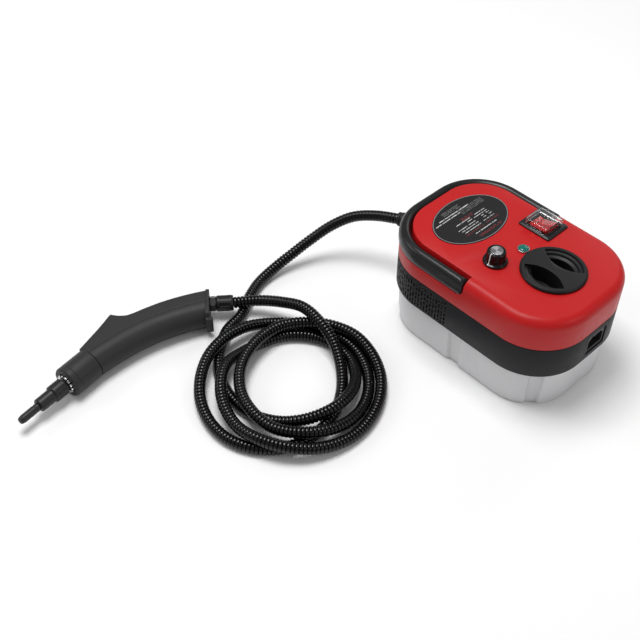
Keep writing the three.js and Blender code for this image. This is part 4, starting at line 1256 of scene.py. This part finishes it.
def cross_screw(name, place, finish):
    head = turned(name, HEAD_PROFILE, finish, place, 40)
    bars = [pushed("bar", middle_block(1.7, 0.32), -1.1, 1, None, place @ Matrix.Rotation(turn, 4, "Z"))
            for turn in (0.4, 0.4 + math.pi / 2)]
    shaft = pushed("shaft", disc(1.4, 20), -23, -2, None, place)
    cut(head, *bars)
    return join(head, shaft)


for i, (x, y) in enumerate(GUN_SCREWS):
    screw = cross_screw(f"gun_cross_screw_{i + 1}", GUN @ at(x, y, CHEEK - 0.8), steel)
    settle(screw, "housing", "steel", f"gun_screw_{i + 1}")

# %% Steam button
button_place = GUN @ BUTTON_PLACE
button_outline = eased(middle_block(6.5, 4), [0.5, 0.5, 1.6, 1.6])
button = pushed("button_pad", button_outline, -4.5, 4.5, switch_black, button_place)
softened(button, 0.7, 3, 60)
grip_lines = [pushed("grip_line", block(x - 0.4, x + 0.4, 3.5, 5), -6, 6, None, button_place)
              for x in range(-4, 5, 2)]
cut(button, *grip_lines)
settle(button, "steam_button", "soft_black", "steam_button")

# %% Collar, bright socket ring and nozzle
BARREL = GUN @ LYING_X
collar_corners = [(10, -37), (17.2, -37), (18, -36), (18, -9), (17.5, -8.4), (18, -7.8), (18, -2),
                  (16.6, 0), (12.2, 0), (12.2, -14), (10, -14)]
collar_profile = eased(collar_corners, [0, 0.3, 0.5, 0.2, 0.2, 0.2, 0.8, 0.6, 0.4, 0.2, 0])
collar = turned("gun_collar", collar_profile, gun_grey, BARREL, 96)
settle(collar, "housing", "gun_shell", "front_collar")

socket_corners = [(6, -13.5), (11.8, -13.5), (11.8, 1.6), (11.0, 2.5), (6, 2.5)]
socket_profile = eased(socket_corners, [0, 0.2, 0.5, 0.4, 0.2])
ring = turned("socket_ring", socket_profile, bright_ring, BARREL, 96)
cut(ring, pegs(14, 11.4, (2.6, 2.1, 5.0), BARREL @ at(0, 0, 2.4), False), sharp=30)
softened(ring, 0.15, 2, 50)
settle(ring, "housing", "steel", "nozzle_socket")

extension_corners = [(2, -9), (5.6, -9), (5.6, 4), (9.0, 4), (9.8, 4.9), (9.8, 19.6), (9.2, 20.6),
                     (7.8, 20.9), (7.8, 38.9), (7.0, 40), (3.4, 40), (3.4, 29), (2, 29)]
extension_profile = eased(extension_corners, [0, 0.3, 0.2, 0.4, 0.4, 0.5, 0.4, 0.3, 0.5, 0.6, 0.3, 0, 0])
extension = turned("nozzle_body", extension_profile, nozzle_black, BARREL, 80)
cut(extension, pegs(12, 10.2, (1.4, 1.5, 11.0), BARREL @ at(0, 0, 12.4), True))
settle(extension, "nozzle_extension", "soft_black", "nozzle_extension")
tip_corners = [(1.5, 30), (3, 30), (3, 40.3), (4.7, 40.3), (4.7, 44), (4.45, 44.6), (4.45, 45.4),
               (4.7, 46), (4.7, 61.5), (3.6, 66), (1.5, 66)]
tip_profile = eased(tip_corners, [0, 0, 0.1, 0.4, 0.1, 0.1, 0.1, 0.1, 2.0, 0.9, 0.4])
tip = turned("nozzle_rod", tip_profile, nozzle_black, BARREL, 64)
settle(tip, "nozzle_tip", "soft_black", "nozzle_tip")

# %% [markdown]
# A plate with a hook closes the gun's tail. Behind it a nut and a ribbed rubber gland hold the hose.

# %% Tail plate, nut and gland
plate_corners = [(-11, -16.5), (31, -16.5), (32, -10), (36, -10), (36, 10), (32, 10), (31, 16.5),
                 (-11, 16.5)]
plate_outline = eased(plate_corners, [5, 3, 1, 3, 3, 1, 3, 5], 6)
TAIL_FACE = TAIL @ UPRIGHT
tail = pushed("tail_hook_plate", plate_outline, -4, 0, gun_grey, TAIL_FACE)
lip_corners = [(-2, 25), (0, 25), (1.2, 29), (4, 31.5), (4, 36), (0, 36), (-2, 34)]
join(tail, pushed("lip", eased(lip_corners, [0, 1, 3, 2, 1.5, 1.5, 0]), -10, 10, None, TAIL))
cut(tail, pushed("bore", disc(TAIL_BORE, 32), -20, 10, None, TAIL_FACE))
softened(tail, 1.0, 3, 45)
settle(tail, "housing", "gun_shell", "tail_plate")

TAIL_AXIS = TAIL @ LYING_X
gland_nut = hex_nut("gland_nut", 9.2, TAIL_BORE, 7.0, switch_black, TAIL_AXIS @ at(0, 0, GAP))
settle(gland_nut, "housing", "soft_black", "gun_gland_nut")

gland_corners = [(3.4, -7.5), (6, -7.5), (6, 7.6), (8.6, 7.6), (9.4, 9.0), (9.4, GLAND_LENGTH - 2),
                 (8.6, GLAND_LENGTH), (3.4, GLAND_LENGTH)]
gland_profile = eased(gland_corners, [0, 0.2, 0.2, 0.6, 1.0, 1.0, 0.8, 0.2])
gland = turned("gun_gland_sleeve", gland_profile, gland_black, TAIL_AXIS, 72)
cut(gland, pegs(6, 9.4, (2.4, 4.0, 11.5), TAIL_AXIS @ at(0, 0, 17.2), False), sharp=30)
softened(gland, 0.5, 3, 45)
settle(gland, "housing", "rubber", "gun_gland")

# %% [markdown]
# ## Inner pieces
# These pieces keep the frame's own shape. They are seen through the tank, through the filler neck or
# when the handle and the cap are moved, and each gets the finish of its real material.

# %% Finishes of the pieces that stay
copper_coil = metal("copper_coil", (0.60, 0.26, 0.12), 0.38)
STAYING = {
    milky: ["tank_seal", "neck_strainer", "cap_gasket", "intake_tube", "gun_steam_pipe"],
    steel: [*(f"housing_screw_{k}" for k in range(1, 5)), "handle_pin_left", "handle_pin_right",
            "regulator_nut", "inlet_pin_line", "inlet_pin_neutral", "inlet_pin_earth",
            "heating_element", "button_spring"],
    black_shell: ["filler_neck", "micro_switch", "pump_coil"],
    brass: ["regulator_shaft", "regulator_valve", "pump_head", "intake_filter"],
    cast_aluminium: ["boiler_body", "boiler_lid", "steam_pipe"],
    ceramic: ["thermostat", "thermal_fuse"],
    board_green: ["control_board"],
}
for finish, names in STAYING.items():
    for name in names:
        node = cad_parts[name]
        node.data.materials.clear()
        node.data.materials.append(finish)
print("kept frame pieces:", sum(len(names) for names in STAYING.values()))

# %% [markdown]
# ## Room and light
# The unit stands on a plain pale floor under a large soft light, with weaker ones from the sides. A
# dim pale sky fills the shadows. Glossy black shows little else than what it mirrors, so the lights
# are compact enough to leave it black between their reflections.

# %% Floor, sky and lights
def pale_floor():
    made, graph = new_material("pale_floor")
    place = graph.node("ShaderNodeTexCoord", output="Object")
    clouds = graph.noise(place, 2.5, 2.0)
    base = graph.blend(clouds, (0.90, 0.90, 0.90), (0.93, 0.93, 0.93))
    surface(graph, Base_Color=base, Roughness=0.9, Specular_IOR_Level=0.1)
    return made


FLOOR_HALF, FLOOR_DROP = 9000, 0.3  # the floor lies a little below the part's own zero
floor_corners = [(x, y, -FLOOR_DROP) for x, y in middle_block(FLOOR_HALF, FLOOR_HALF)]
floor = solid("floor", floor_corners, [(0, 1, 2, 3)], pale_floor())

sky = bpy.data.worlds.new("sky")
sky.use_nodes = True
background = sky.node_tree.nodes["Background"]
background.inputs["Color"].default_value = (1.0, 1.0, 1.0, 1.0)
background.inputs["Strength"].default_value = 0.36
scene.world = sky
scene.view_settings.view_transform = "Standard"


def soft_light(name, place, target, size, power):
    """Square area light, place and target in metres."""
    lamp = bpy.data.lights.new(name, "AREA")
    lamp.size, lamp.energy = size, power
    held = bpy.data.objects.new(name, lamp)
    held.location = place
    held.rotation_euler = (Vector(target) - Vector(place)).to_track_quat("-Z", "Y").to_euler()
    scene.collection.objects.link(held)


soft_light("overhead", (-0.5, -0.15, 2.1), (-0.1, -0.2, 0.0), size=0.95, power=33)
soft_light("left", (-1.9, -1.2, 1.3), (-0.1, -0.2, 0.05), size=0.9, power=8)
soft_light("right", (1.6, 0.5, 1.2), (0.0, 0.0, 0.08), size=0.7, power=4)
soft_light("back", (-0.5, 2.0, 1.3), (0.0, 0.0, 0.1), size=0.9, power=5)
